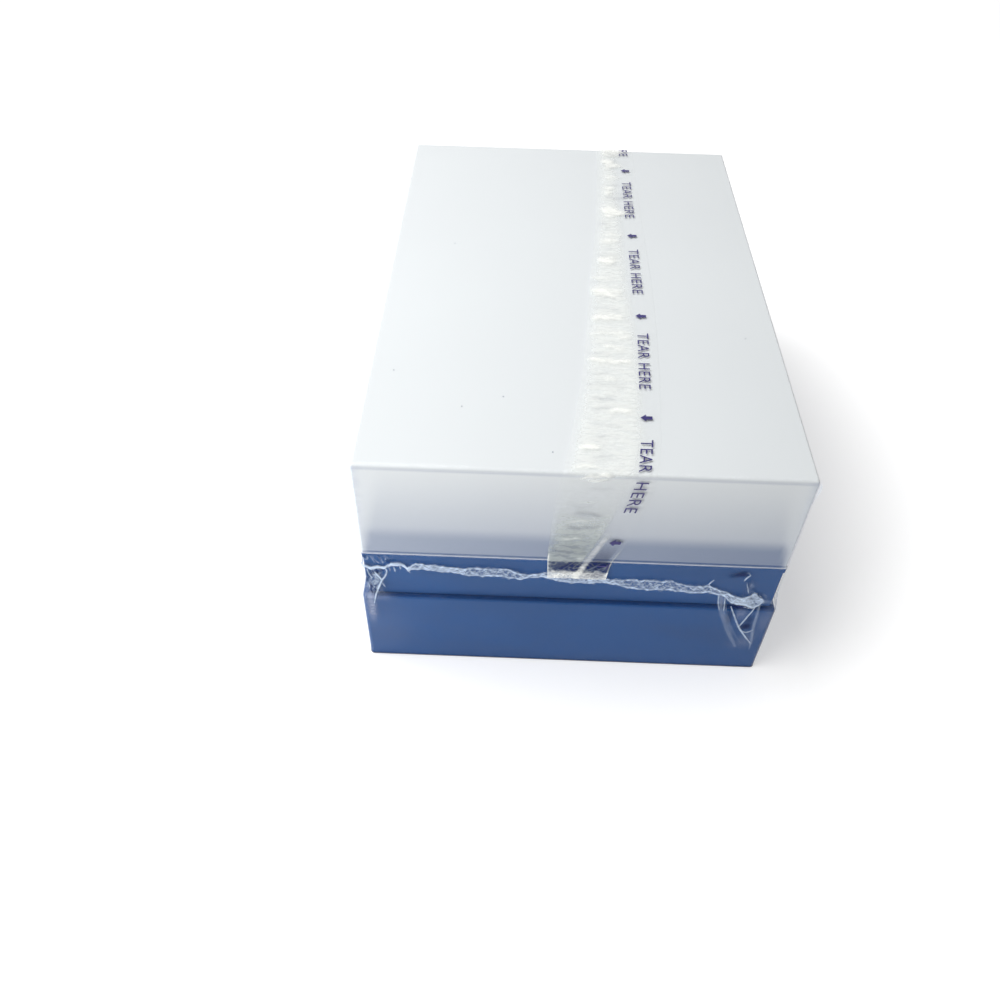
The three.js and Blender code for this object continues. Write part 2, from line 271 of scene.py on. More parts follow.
class Skin:
    """Grids of points gathered into one mesh, each point with its named values."""

    def __init__(self, **defaults):
        self.points, self.faces, self.count = [], [], 0
        self.defaults = defaults
        self.values = {name: [] for name in defaults}

    def grid(self, points, close_rows=False, close_columns=True, caps=False, **values):
        """Adds one grid or a stack of equal grids. Rows run up the outside, columns run
        anticlockwise, and a quad joins each four neighbours, so its face points outwards."""
        rows, columns = points.shape[-3:-1]
        index = np.arange(points[..., 0].size).reshape(-1, rows, columns) + self.count
        if close_rows:
            index = np.concatenate([index, index[:, :1]], axis=1)
        if close_columns:
            index = np.concatenate([index, index[:, :, :1]], axis=2)
        quads = [index[:, :-1, :-1], index[:, :-1, 1:], index[:, 1:, 1:], index[:, 1:, :-1]]
        self.faces.extend(np.stack(quads, axis=-1).reshape(-1, 4).tolist())
        if caps:
            self.faces.extend(index[:, 0, :columns][:, ::-1].tolist())
            self.faces.extend(index[:, -1, :columns].tolist())
        self.points.append(points.reshape(-1, 3))
        self.count += points[..., 0].size
        for name, default in self.defaults.items():
            value = np.broadcast_to(values.get(name, default), points.shape[:-1])
            self.values[name].append(value.reshape(-1))

    def loose(self, points, triangles):
        """Adds triangles as they are, to a mesh whose points have no values."""
        self.faces.extend((triangles + self.count).tolist())
        self.points.append(points)
        self.count += len(points)

    def cap_first(self, columns):
        """Closes the first ring with one flat face."""
        self.faces.append(list(range(columns))[::-1])

    def cap_last(self, columns):
        """Closes the last ring with one flat face."""
        self.faces.append(list(range(self.count - columns, self.count)))

    def mesh_object(self, name, material, smooth_angle=MOULDED_ANGLE):
        """Makes an object at the origin from what was gathered."""
        mesh = bpy.data.meshes.new(name)
        mesh.from_pydata(np.concatenate(self.points).tolist(), [], self.faces)
        for key, values in self.values.items():
            attribute = mesh.attributes.new(key, "FLOAT", "POINT")
            attribute.data.foreach_set("value", np.concatenate(values).astype(np.float32))
        mesh.polygons.foreach_set("use_smooth", np.ones(len(mesh.polygons), bool))
        mesh.set_sharp_from_angle(angle=math.radians(smooth_angle))
        mesh.materials.append(material)
        mesh.update()
        return bpy.data.objects.new(name, mesh)

    def build(self, name, material, slot, replaced, smooth_angle=MOULDED_ANGLE):
        """Makes the object and fixes it to the box."""
        return fix_to_box(self.mesh_object(name, material, smooth_angle), replaced)


def fix_to_box(piece, replaced):
    """Links a finished piece, hides the imported parts that it stands for, and makes it ride on
    the box."""
    bpy.context.scene.collection.objects.link(piece)
    if replaced:
        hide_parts(*replaced)
    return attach(piece, BODY)


def even_shading(piece):
    """Lets a moulding's flat faces keep their own normals, so that only its rounds are shaded
    round."""
    modifier = piece.modifiers.new("Even shading", "WEIGHTED_NORMAL")
    modifier.keep_sharp = True
    return piece


# ---- Shader maths --------------------------------------------------------------------------------


class Value:
    """A node's output for use in sums, differences, products and powers, each of which adds one
    Math node."""

    def __init__(self, tree, socket):
        self.tree, self.socket = tree, socket

    def math(self, operation, *terms):
        node = self.tree.nodes.new("ShaderNodeMath")
        node.operation = operation
        for entry, term in zip(node.inputs, terms):
            connect(self.tree, entry, term)
        return Value(self.tree, node.outputs[0])

    def __add__(self, other):
        return self.math("ADD", self, other)

    def __sub__(self, other):
        return self.math("SUBTRACT", self, other)

    def __rsub__(self, other):
        return self.math("SUBTRACT", other, self)

    def __mul__(self, other):
        return self.math("MULTIPLY", self, other)

    def __pow__(self, other):
        return self.math("POWER", self, other)

    __radd__, __rmul__ = __add__, __mul__

    def or_more(self, other):
        """The larger of the two."""
        return self.math("MAXIMUM", self, other)


def connect(tree, entry, term):
    """Links a node's output to an input, or sets the input to a number, colour or vector."""
    if isinstance(term, Value):
        tree.links.new(term.socket, entry)
    else:
        entry.default_value = term


# Sockets of a Mix node that mixes colours.
MIX_SHARE, MIX_FIRST, MIX_SECOND, MIX_RESULT = 0, 6, 7, 2


class Nodes:
    """A node tree whose nodes are added one by one."""

    def __init__(self, tree):
        self.tree = tree
        tree.nodes.clear()

    def node(self, kind, settings=None, inputs=None, output=0):
        """Adds a node of a kind, with its settings first and then its inputs' values or links."""
        node = self.tree.nodes.new(kind)
        for key, value in (settings or {}).items():
            setattr(node, key, value)
        for key, term in (inputs or {}).items():
            connect(self.tree, node.inputs[key], term)
        return Value(self.tree, node.outputs[output]) if node.outputs else None

    def seen(self):
        """1 for the camera, gloss and clear plastic, and 0 for the light that falls on things."""
        camera, gloss, clear = (self.node("ShaderNodeLightPath", output=ray) for ray in (
            "Is Camera Ray", "Is Glossy Ray", "Is Transmission Ray"))
        return camera.or_more(gloss).or_more(clear)


class Finish(Nodes):
    """A material and its nodes."""

    def __init__(self, name):
        self.material = bpy.data.materials.new(name)
        self.material.use_nodes = True
        super().__init__(self.material.node_tree)

    def place(self):
        """Place on the piece, in metres."""
        return self.node("ShaderNodeTexCoord", output="Object")

    def stretched(self, scale):
        """Place with each axis scaled, so that a pattern is longer where its axis has less."""
        return self.node("ShaderNodeMapping", {}, {"Vector": self.place(), "Scale": scale})

    def noise(self, vector, scale, detail, roughness=0.5):
        return self.node("ShaderNodeTexNoise", {}, {
            "Vector": vector, "Scale": scale, "Detail": detail, "Roughness": roughness})

    def between(self, value, low, high):
        """0 below low, 1 above high, and an ease between them."""
        return self.node("ShaderNodeMapRange", {"interpolation_type": "SMOOTHSTEP"}, {
            "Value": value, "From Min": low, "From Max": high})

    def blend(self, share, first, second):
        """Colour between two colours."""
        return self.node("ShaderNodeMix", {"data_type": "RGBA"}, {
            MIX_SHARE: share, MIX_FIRST: first, MIX_SECOND: second}, MIX_RESULT)

    def attribute(self, name):
        """One of the mesh's values by name."""
        return self.node("ShaderNodeAttribute", {"attribute_name": name}, output="Fac")

    def bump(self, height, strength, distance):
        return self.node("ShaderNodeBump", {}, {
            "Height": height, "Strength": strength, "Distance": distance})

    def principled(self, **inputs):
        """Principled shader, whose sockets are named with underscores for their spaces."""
        named = {key.replace("_", " "): term for key, term in inputs.items()}
        return self.node("ShaderNodeBsdfPrincipled", {}, named)

    def mix(self, share, first, second):
        """Shader between two shaders."""
        return self.node("ShaderNodeMixShader", {}, {0: share, 1: first, 2: second})

    def done(self, shader):
        """Puts the shader on the surface and gives the finished material."""
        self.node("ShaderNodeOutputMaterial", {}, {"Surface": shader})
        return self.material


def opaque(colour, share=1.0):
    """A colour as a shader takes it, brighter or darker by a share."""
    return (*(part * share for part in colour), 1.0)


# ---- The box's own settings ----------------------------------------------------------------------


def length(name, description, default):
    return FloatProperty(name=name, description=description, default=default, min=0,
                         subtype="DISTANCE", unit="LENGTH")


def colour(name, description, default):
    return FloatVectorProperty(name=name, description=description, default=default, min=0, max=1,
                               size=3, subtype="COLOR")


class TipBoxMouldings(bpy.types.PropertyGroup):
    """Walls and colours of the plastic mouldings."""

    tray_wall: length("Tray wall", "Wall of the base tray", 1.5 * MM)
    tray_floor: length("Tray floor", "Floor of the base tray", 1.6 * MM)
    foot_width: length("Foot width", "Rim that the tray stands on", 2.6 * MM)
    foot_depth: length("Foot depth", "How far the floor is raised inside the foot", 1.0 * MM)
    frame_wall: length("Frame wall", "Wall of the rack frame", 1.5 * MM)
    upstand_inset: length("Upstand inset", "Tray's face to the wall inside the lid", 2.62 * MM)
    skirt_inset: length("Skirt inset", "Tray's face to the wall inside the tray", 1.8 * MM)
    rebate: length("Shadow gap", "Depth of the gap above the tray's rim", 0.28 * MM)
    gap: length("Gap height", "Height of the gap above the tray's rim", 0.3 * MM)
    deck: length("Deck plate", "Thickness of the plate that holds the tips", 1.6 * MM)
    lid_wall: length("Lid wall", "Wall of the lid", 1.4 * MM)
    lid_round: length("Lid edge", "Radius of the lid's top edge", 0.8 * MM)
    bead: length("Bead", "Height of the bead round the lid's foot", 0.4 * MM)
    bead_step: length("Bead step", "How far the bead stands out", 0.12 * MM)
    tip_pitch: length("Tip pitch", "Distance between the tips", 9.0 * MM)
    tip_columns: IntProperty(name="Columns", description="Tips across the box", default=8, min=1)
    tip_rows: IntProperty(name="Rows", description="Tips along the box", default=12, min=1)
    blue: colour("Blue", "Polypropylene of the tray and the rack frame", (0.005, 0.070, 0.245))
    frosted: colour("Frosted", "Polypropylene of the lid", (0.84, 0.875, 0.89))
    natural: colour("Natural", "Polypropylene of the tips", (0.74, 0.77, 0.77))


class TipBoxWrap(bpy.types.PropertyGroup):
    """Shrink film, its weld and the tear tape."""

    weld_white: FloatProperty(name="Weld whiteness", description="How white the weld's strands are",
                              default=0.95, min=0, max=1)
    cap_height: length("Letter height", "Height of the words on the tape", 2.3 * MM)
    print_pitch: length("Print pitch", "Distance from one arrow to the next", 32.85 * MM)
    words: StringProperty(name="Words", description="Words on the tape", default="TEAR HERE")
    # Milky colours of the weld's and folds' whitened film and of the thin sheet, both also used for
    # painted glints.
    haze: colour("Haze", "Whitened film in the weld and the folds", (0.69, 0.82, 1.0))
    veil_and_painted_glint: colour("Veil", "Film where it is drawn thin", (0.70, 0.78, 1.0))
    tape: colour("Tape", "Whitened tear tape", (0.96, 0.97, 0.93))
    tape_dull: colour("Dull tape", "Tear tape where it is slack on the front", (0.58, 0.63, 0.58))
    ink: colour("Ink", "Print on the tape", (0.012, 0.006, 0.12))


class TipBoxStudio(bpy.types.PropertyGroup):
    """Camera, lamps and floor."""

    lens: FloatProperty(name="Lens", description="Focal length", default=32.04, unit="CAMERA")
    floor: colour("Floor", "Pale floor", (0.80, 0.80, 0.80))
    floor_lift: FloatProperty(name="Floor lift", description="Light the floor gives off by the box",
                              default=0.45)
    far_lift: FloatProperty(name="Far lift", description="Light the floor gives off farther away",
                            default=0.75)
    ambient: FloatProperty(name="Ambient", description="Strength of the world", default=0.22)
    key: FloatProperty(name="Key lamp", description="Power of the main lamp", default=1.12,
                       unit="POWER")
    front: FloatProperty(name="Front lamp", description="Power of the low lamp at the front left",
                         default=0.6, unit="POWER")


# ---- Finishes ------------------------------------------------------------------------------------

GRAIN_DEPTH = 0.02 * MM          # of moulded plastic
SLACK_DEPTH = 0.25 * MM          # of the film's slow waves
FACE_ON_GLOSS = 0.04             # share of light that clear film mirrors when seen face on
# Painted shade: a shadowy navy mixed into the film, also the colour of the dust specks.
PAINTED_SHADE_COLOUR = (0.006, 0.018, 0.11)  # of the blue behind film that lifts off it
FLOOR_NEAR, FLOOR_FAR = 65 * MM, 120 * MM  # from the box's middle, where the floor's light grows


def satin_blue(blue):
    """Moulded blue polypropylene: an even satin with a faint flow of colour and a fine grain."""
    finish = Finish("Blue polypropylene")
    flow = finish.noise(finish.stretched((1, 1, 2.5)), scale=40.0, detail=2.0)
    grain = finish.noise(finish.place(), scale=5200.0, detail=1.0)
    shade = finish.blend(finish.between(flow, 0.35, 0.65), opaque(blue, 0.93), opaque(blue, 1.06))
    return finish.done(finish.principled(
        Base_Color=shade, Roughness=0.4 + 0.08 * flow, Specular_IOR_Level=0.3,
        Normal=finish.bump(grain, strength=0.03, distance=GRAIN_DEPTH)))


def frosted_clear(lid, blue):
    """Frosted polypropylene of the lid: pale, with painted shade that mixes in the blue, a painted
    show-through of the upstand close behind the wall, and a fine moulded frost."""
    finish = Finish("Frosted polypropylene")
    cloud = finish.noise(finish.place(), scale=22.0, detail=2.0)
    frost = finish.noise(finish.place(), scale=3800.0, detail=2.0)
    pale = finish.blend(finish.between(cloud, 0.3, 0.7), opaque(lid, 0.985), opaque(lid))
    # Painted shade: the blue mixed into the lid stands for the upstand seen through it.
    shade = finish.blend(finish.attribute("sheer"), pale, opaque(blue))
    return finish.done(finish.principled(
        Base_Color=shade, Roughness=0.42, Specular_IOR_Level=0.4,
        Normal=finish.bump(frost, strength=0.1, distance=GRAIN_DEPTH)))


def natural_tip(natural):
    """Unpigmented polypropylene of the tips and their deck plate, faintly clouded and grained."""
    finish = Finish("Natural polypropylene")
    cloud = finish.noise(finish.place(), scale=160.0, detail=1.0)
    grain = finish.noise(finish.place(), scale=3000.0, detail=1.0)
    return finish.done(finish.principled(
        Base_Color=finish.blend(cloud, opaque(natural, 0.94), opaque(natural)), Roughness=0.3,
        Specular_IOR_Level=0.45, Normal=finish.bump(grain, strength=0.08, distance=GRAIN_DEPTH)))


def wrapping(name, milky, dulled, thin_haze, gloss, painted_glint_glow):
    """Clear glossy plastic film. Its whiteness, partly whitened film and partly painted glints,
    mixes in a milky colour in a fine mottle, dull turns that white towards a duller colour, and
    painted shade mixes in a shadowy navy where it lifts off the blue, in wrinkles and between
    creases, and for specks of dust. Its gloss grows from the share seen face on with the fifth
    power of Facing.
    The milky part gives off a painted glow of its own that stands for the room's light in the many
    small facets of wrinkled film."""
    finish = Finish(name)
    threads = finish.noise(finish.stretched((0.35, 1, 1)), scale=900.0, detail=3.0, roughness=0.7)
    mottle = finish.between(threads, 0.38, 0.6)
    slack = finish.noise(finish.stretched((1, 1, 0.5)), scale=120.0, detail=2.0)
    normal = finish.bump(slack, strength=0.35, distance=SLACK_DEPTH)
    facing = finish.node("ShaderNodeLayerWeight", {}, {"Blend": 0.5, "Normal": normal}, "Facing")
    edge = FACE_ON_GLOSS + (1 - FACE_ON_GLOSS) * facing ** 5
    shine = finish.node("ShaderNodeBsdfAnisotropic", {}, {"Roughness": 0.12, "Normal": normal})
    clear = finish.node("ShaderNodeBsdfTransparent", {}, {"Color": opaque((1, 1, 1))})
    tint = finish.blend(finish.attribute("dull"), opaque(milky), opaque(dulled))
    # The milky part also gives off a painted glow, standing for glints of the room's light.
    milk = finish.principled(Base_Color=tint, Roughness=0.35, Specular_IOR_Level=0.4,
                             Emission_Color=tint, Emission_Strength=painted_glint_glow)
    # A shadowy navy shader, mixed in as painted shade.
    painted_dark = finish.principled(Base_Color=opaque(PAINTED_SHADE_COLOUR), Roughness=0.5, Specular_IOR_Level=0.1)
    share = finish.attribute("haze") * (0.65 + 0.35 * mottle) + thin_haze
    film = finish.mix(share, finish.mix(edge * gloss, clear, shine), milk)
    return finish.done(finish.mix(finish.attribute("gloom"), film, painted_dark))


def tape_ink(ink):
    """Indigo print, thin in places."""
    finish = Finish("Tape ink")
    patches = finish.noise(finish.place(), scale=1500.0, detail=2.0)
    worn = opaque([part * 1.5 + 0.01 for part in ink])
    shade = finish.blend(finish.between(patches, 0.4, 0.7), opaque(ink), worn)
    return finish.done(finish.principled(Base_Color=shade, Roughness=0.35))


def studio_floor(studio):
    """Matt floor that keeps the shadow. To the camera, gloss and clear plastic it also gives off a
    little light of its own, more of it farther from the box, so that it meets the white
    surroundings."""
    finish = Finish("Studio floor")
    tone = finish.noise(finish.place(), scale=3.0, detail=1.0)
    shade = finish.blend(tone, opaque(studio.floor, 0.995), opaque(studio.floor))
    matt = finish.node("ShaderNodeBsdfDiffuse", {}, {"Color": shade})
    away = finish.node("ShaderNodeVectorMath", {"operation": "LENGTH"}, {0: finish.place()},
                       "Value")
    white, black = (1, 1, 1), opaque((0, 0, 0))
    light = finish.blend(finish.between(away, FLOOR_NEAR, FLOOR_FAR),
                         opaque(white, studio.floor_lift), opaque(white, studio.far_lift))
    light = finish.blend(finish.seen(), black, light)
    glow = finish.node("ShaderNodeEmission", {}, {"Color": light})
    return finish.done(finish.node("ShaderNodeAddShader", {}, {0: matt, 1: glow}))


# ---- Mouldings -----------------------------------------------------------------------------------

# Columns round a moulding: their step along a wall, the lid's finer step, and their number in a
# corner. Inside the cap's inset one flat face closes a floor, a plate or a ceiling.
WALL_STEP, LID_STEP, CORNER_STEPS = 12 * MM, 1.0 * MM, 14
CAP_INSET = 14 * MM
LID_DRAFT = 0.02 * MM            # how far the lid's wall leans in from its foot to its top

# Ribs inside the tray's walls.
RIB_WIDTH, RIB_DEPTH, RIB_PITCH = 1.2 * MM, 1.3 * MM, 26 * MM

# The rack frame: how far its apron stands behind its flange, and how far below the shoulder the
# flange ends and the apron starts. The shelf that carries the deck plate: how far it juts out, its
# lip's height, and the height of its whole slope.
APRON_STEP, FLANGE_LOW, APRON_TOP = 0.2 * MM, 1.2 * MM, 1.3 * MM
SHELF_WIDTH, SHELF_LIP, SHELF_SLOPE = 1.5 * MM, 1.4 * MM, 2.9 * MM

# The stiffening rim under the deck plate, from the plate's edge inwards, and its height.
DECK_RIM = (2.6 * MM, 3.8 * MM)
DECK_RIM_HEIGHT = 2 * MM

# A tip, as (radius, height) up its outside from its end and down the bore, and its bends' rounds.
TIP_PROFILE = np.array([
    (0.25, 0), (0.6, 0), (1.7, 18), (2.7, 37.4), (3.4, 37.5), (3.46, 39.3), (3.6, 49.1),
    (3.6, 50.5), (2.9, 50.5), (2.75, 47.5)]) * MM
TIP_ROUNDS = np.array([0.15, 6, 0.2, 0.2, 0.1, 0.3, 0.3, 0.3]) * MM
TIP_SIDES, TIP_RIBS, TIP_RIB_HEIGHT = 24, 8, 0.3 * MM
COLLAR_FOOT, COLLAR_TOP = 0.6 * MM, 1.8 * MM  # ribbed from above the deck to below the mouth

# How much blue is painted into the lid's wall as painted shade, a painted show-through of the
# upstand: behind it at the upstand and how that grows towards +X, over the upstand, what is left
# near a corner, which is painted paler, and in the two turns, painted as a shaded line.
PAINTED_BLUE_BEHIND, PAINTED_SHADE_TILT, PAINTED_BLUE_ABOVE, PAINTED_SHADE_AT_CORNER = 0.65, 0.08, 0.34, 0.05
PAINTED_TOP_EDGE_SHADE, PAINTED_GROOVE_SHADE = 0.34, 0.32


def carried(skin, section, **options):
    """Carries a section of (inset, height) points round the box."""
    skin.grid(rings(girth_places(WALL_STEP, CORNER_STEPS), *np.transpose(section)), **options)


def tray_skin(box):
    """Tub section from the underside's middle, round the foot, up the face and down to the floor.
    Upright ribs stand on the floor along its walls, under the rack frame's skirt."""
    floor_z = FOOT_Z + box.foot_depth + box.tray_floor
    under_z = FOOT_Z + box.foot_depth
    skin = Skin()
    section = filleted(
        [(CAP_INSET, under_z), (box.foot_width, under_z), (box.foot_width, FOOT_Z), (0, FOOT_Z),
         (0, RIM_Z), (box.tray_wall, RIM_Z), (box.tray_wall, floor_z), (CAP_INSET, floor_z)],
        np.array([0.3, 0.25, 0.15, 0.45, 0.25, 1.0]) * MM)
    carried(skin, section, caps=True)

    levels = np.array([floor_z - box.tray_floor / 2, SKIRT_Z - SEAT_GAP])[None, :, None, None]
    for half, other, turned_round in ((HALF_X, HALF_Y, False), (HALF_Y, HALF_X, True)):
        inside = 2 * (other - box.tray_wall)
        count = math.ceil(inside / RIB_PITCH)
        along = ((np.arange(count) + 0.5) / count - 0.5) * inside
        for side in (-1, 1):
            face = side * (half - box.tray_wall / 2)
            tip = side * (half - box.tray_wall - RIB_DEPTH)
            low, high = min(face, tip), max(face, tip)
            ring = np.array([(low, -RIB_WIDTH / 2), (high, -RIB_WIDTH / 2),
                             (high, RIB_WIDTH / 2), (low, RIB_WIDTH / 2)])
            ring = ring[None, None] + np.stack([0 * along, along], axis=-1)[:, None, None]
            if turned_round:
                ring = ring[:, :, ::-1, ::-1]
            parts = np.broadcast_arrays(ring[..., :1], ring[..., 1:], levels)
            skin.grid(np.concatenate(parts, axis=-1), caps=True)
    return skin


def frame_skin(box):
    """Closed section of the rack frame: skirt in the tray, shadow gap, apron, shoulder, upstand
    with the shelf that carries the deck plate."""
    apron = FLANGE_INSET + APRON_STEP
    rebated = apron + box.rebate
    seat = RIM_Z + SEAT_GAP
    shelf = box.upstand_inset + box.frame_wall
    skirt_in = box.skirt_inset + box.frame_wall
    ledge_z = DECK_Z - box.deck - SEAT_GAP
    section = filleted(
        [(skirt_in, SKIRT_Z), (box.skirt_inset, SKIRT_Z), (box.skirt_inset, seat), (rebated, seat),
         (rebated, seat + box.gap), (apron, seat + box.gap), (apron, SHOULDER_Z - APRON_TOP),
         (FLANGE_INSET, SHOULDER_Z - FLANGE_LOW), (FLANGE_INSET, SHOULDER_Z),
         (box.upstand_inset, SHOULDER_Z), (box.upstand_inset, DECK_Z), (shelf, DECK_Z),
         (shelf, ledge_z), (shelf + SHELF_WIDTH, ledge_z),
         (shelf + SHELF_WIDTH, ledge_z - SHELF_LIP), (shelf, ledge_z - SHELF_SLOPE),
         (shelf, SHOULDER_Z - box.frame_wall),
         (apron + box.frame_wall, SHOULDER_Z - box.frame_wall),
         (apron + box.frame_wall, seat + box.frame_wall), (skirt_in, seat), (skirt_in, SKIRT_Z)],
        np.array([0.2, 0.05, 0.05, 0.1, 1.2, 0.1, 0.1, 0.25, 0.2, 0.3, 0.3, 0.2, 0.2, 0.2, 0.2, 0.3,
                  0.5, 0.5, 0.4]) * MM)
    skin = Skin()
    carried(skin, section[:-1], close_rows=True)
    return skin


def deck_skin(box):
    """Deck plate with a stiffening rim under it, and the tips: each is a hollow taper turned about
    its own axis, from its end up the shaft and the ribbed collar, over the mouth and down the
    bore."""
    skin = Skin()
    under_z = DECK_Z - box.deck
    rim_z = under_z - DECK_RIM_HEIGHT
    outer, inner = (DECK_INSET + inset for inset in DECK_RIM)
    plate = filleted(
        [(CAP_INSET, under_z), (inner, under_z), (inner, rim_z), (outer, rim_z), (outer, under_z),
         (DECK_INSET, under_z), (DECK_INSET, DECK_Z), (CAP_INSET, DECK_Z)],
        np.array([0.2, 0.2, 0.2, 0.2, 0.2, 0.3]) * MM, 3)
    carried(skin, plate, caps=True)

    profile = filleted(TIP_PROFILE, TIP_ROUNDS, 2) + [0, deck_low.z]
    collar = (DECK_Z + COLLAR_FOOT, deck_high.z - COLLAR_TOP)
    tip = turned(profile, TIP_SIDES, TIP_RIBS, TIP_RIB_HEIGHT, collar)
    x = (np.arange(box.tip_columns) - (box.tip_columns - 1) / 2) * box.tip_pitch
    y = (np.arange(box.tip_rows) - (box.tip_rows - 1) / 2) * box.tip_pitch
    places = np.stack(np.meshgrid(x, y, [0.0], indexing="ij"), axis=-1).reshape(-1, 1, 1, 3)
    skin.grid(tip + places, close_rows=True)
    return skin


def lid_skin(box):
    """Lid section from the ceiling's middle, down inside, round the rim's bead and up over the top.

    The lid's painted shade mixes in the blue inside as a painted show-through of it. It grows down
    the wall from nothing at the top to a third above the rack frame's upstand, and doubles where
    the upstand stands close behind the wall. It fades towards a corner, over a width that grows up
    the wall, so the corners are painted paler. The bead has none, and the groove above it and the
    turn at the top get a little of their own, as a painted shade line.
    """
    skin = Skin(sheer=0.0)
    face = BEAD_INSET + box.bead_step
    top_face = face + LID_DRAFT
    ceiling = LID_TOP_Z - box.lid_wall
    bead = LID_FOOT_Z + box.bead
    # Rows of the wall, close together above the bead and under the top edge.
    rows = np.concatenate([bead + np.array([0.15, 0.35, 0.55, 0.8]) * MM,
                           np.linspace(bead + 1.4 * MM, DECK_Z + 3 * MM, 18),
                           np.linspace(DECK_Z + 4.5 * MM, LID_TOP_Z - 2 * MM, 10),
                           LID_TOP_Z - np.array([1.5, 1.2, 1.0]) * MM])
    wall = np.interp(rows, [bead, LID_TOP_Z], [face, top_face])
    lower = filleted(
        [(CAP_INSET, ceiling), (top_face + box.lid_wall, ceiling),
         (face + box.lid_wall, LID_FOOT_Z), (BEAD_INSET, LID_FOOT_Z), (BEAD_INSET, bead),
         (face, bead + 0.05 * MM)],
        np.array([0.45, 0.2, 0.06, 0.05]) * MM)
    upper = filleted([(wall[-1], rows[-1]), (top_face, LID_TOP_Z), (CAP_INSET, LID_TOP_Z)],
                     [box.lid_round], 8)
    section = np.concatenate([lower, np.stack([wall, rows], axis=-1), upper[1:]])
    columns = girth_places(LID_STEP, CORNER_STEPS)
    points = rings(columns, *section.T)

    x, height = points[..., 0], points[..., 2]
    outside = (section[:, 0] < face + 0.5 * box.lid_wall) & (section[:, 1] > bead - 0.2 * MM)
    # Painted show-through of the blue, growing down the wall and towards +X, fading at the corners.
    above = PAINTED_BLUE_ABOVE * (LID_TOP_Z - height) / (LID_TOP_Z - DECK_Z)
    behind = PAINTED_BLUE_BEHIND + PAINTED_SHADE_TILT * x / HALF_X
    share = smooth_step(height, DECK_Z - 3 * MM, DECK_Z + 1 * MM)
    rise = np.clip((height - LID_FOOT_Z) / (LID_TOP_Z - LID_FOOT_Z), 0, 1)
    start, width = (0.1 + 1.2 * rise) * MM, (1.2 + 4.5 * rise) * MM
    from_corner = np.clip((corner_distance(columns) - start) / width, 0, 1)
    within = PAINTED_SHADE_AT_CORNER + (1 - PAINTED_SHADE_AT_CORNER) * from_corner
    sheer = (behind * (1 - share) + above * share) * within
    # Painted shade lines in the turn at the top edge and in the groove above the bead.
    sheer = sheer + PAINTED_TOP_EDGE_SHADE * bell(height, LID_TOP_Z - 0.8 * MM, 0.3 * MM)
    sheer = sheer + PAINTED_GROOVE_SHADE * bell(height, bead + 0.2 * MM, 0.16 * MM)
    skin.grid(points, caps=True, sheer=np.clip(outside[:, None] * sheer, 0, 1))
    return skin


# ---- Shrink film ---------------------------------------------------------------------------------

FILM_STAND = 0.13 * MM           # the film's distance from the mouldings
FILM_REACH = 0.33 * MM           # the most that it stands outside the tray's outline
FOOT_STAND, FOOT_ROUND = 0.07 * MM, 0.15 * MM  # under the foot, and its round there
EDGE_ROUND = 0.95 * MM           # its round over the lid's top edge
BEAD_TOP = LID_FOOT_Z + 0.5 * MM
LID_LEAN = 0.14 * MM             # how far it leans in from the bead to the top
FILM_STEP, FILM_CORNER_STEPS = 0.45 * MM, 8  # its columns' step, and their number in a corner
STEP_SPAN, CORNER_SPAN = 1.5 * MM, 4.0 * MM  # height in which it crosses the step; more in corners
SLACK_PLAIN, SLACK_ROOM = 0.04 * MM, 0.16 * MM  # how far slack film stands out; more over the step
PUCKER_HEIGHT = 4.0 * MM         # from the weld to where its puckers have died away to a third
# Painted glints down the lid's corners and over the bead, and painted shade in the step above the
# tray's rim and at the foot.
CORNER_GLINT, BEAD_GLINT = 0.2, 0.35
STEP_PAINTED_SHADE, FOOT_PAINTED_SHADE = 0.2, 0.5

# The weld past the front's corners: the width over which it runs into a plane there, that plane's
# height, its fall towards +X and its sway, and the jag of the whole edge.
PAST_CORNER = 16 * MM
WELD_LEVEL, WELD_FALL, WELD_SWAY, WELD_JAG = 29.1 * MM, 0.055, 0.45 * MM, 0.1 * MM
WELD_STEP, WELD_MARGIN = 0.22 * MM, 0.6 * MM  # its band's columns, and what it has past the weld
WELD_FOOT, WELD_HEIGHT = 0.04 * MM, 0.12 * MM  # how far clear and whitened film stands off there

# The weld along the front, as (across, height of its upper edge, its width) in millimetres.
FRONT_WELD = np.array([
    (-41.8, 30.5, 0.5), (-40.3, 29.7, 0.5), (-38.8, 30.3, 0.5), (-37.7, 29.9, 0.4),
    (-36.3, 31.2, 0.6), (-34.4, 31.3, 0.5), (-33.5, 30.7, 0.6), (-33.0, 29.9, 0.9),
    (-32.2, 30.7, 1.0), (-31.3, 31.2, 1.5), (-29.4, 31.1, 1.4), (-27.2, 30.9, 1.4),
    (-24.6, 30.5, 1.2), (-22.5, 30.2, 1.5), (-20.3, 30.5, 2.1), (-18.4, 30.7, 2.2),
    (-15.9, 30.5, 2.0), (-12.3, 30.5, 2.4), (-10.8, 29.6, 1.7), (-8.7, 29.0, 0.7),
    (-6.2, 29.7, 0.8), (-4.9, 30.0, 1.6), (-3.1, 30.3, 2.4), (-0.5, 29.5, 2.0), (3.3, 29.6, 2.4),
    (6.2, 28.8, 0.9), (8.8, 28.5, 1.2), (12.3, 28.7, 2.6), (16.7, 28.8, 2.8), (20.0, 28.7, 2.7),
    (23.5, 27.6, 1.9), (26.3, 27.5, 2.0), (28.0, 27.6, 1.8), (30.0, 26.5, 1.2), (31.6, 26.1, 1.3),
    (33.1, 24.9, 1.8), (35.0, 24.3, 1.6), (36.0, 25.1, 2.4), (37.6, 25.8, 4.0), (38.6, 24.8, 2.3),
    (39.3, 24.2, 0.7), (41.8, 24.0, 0.4)]) * MM

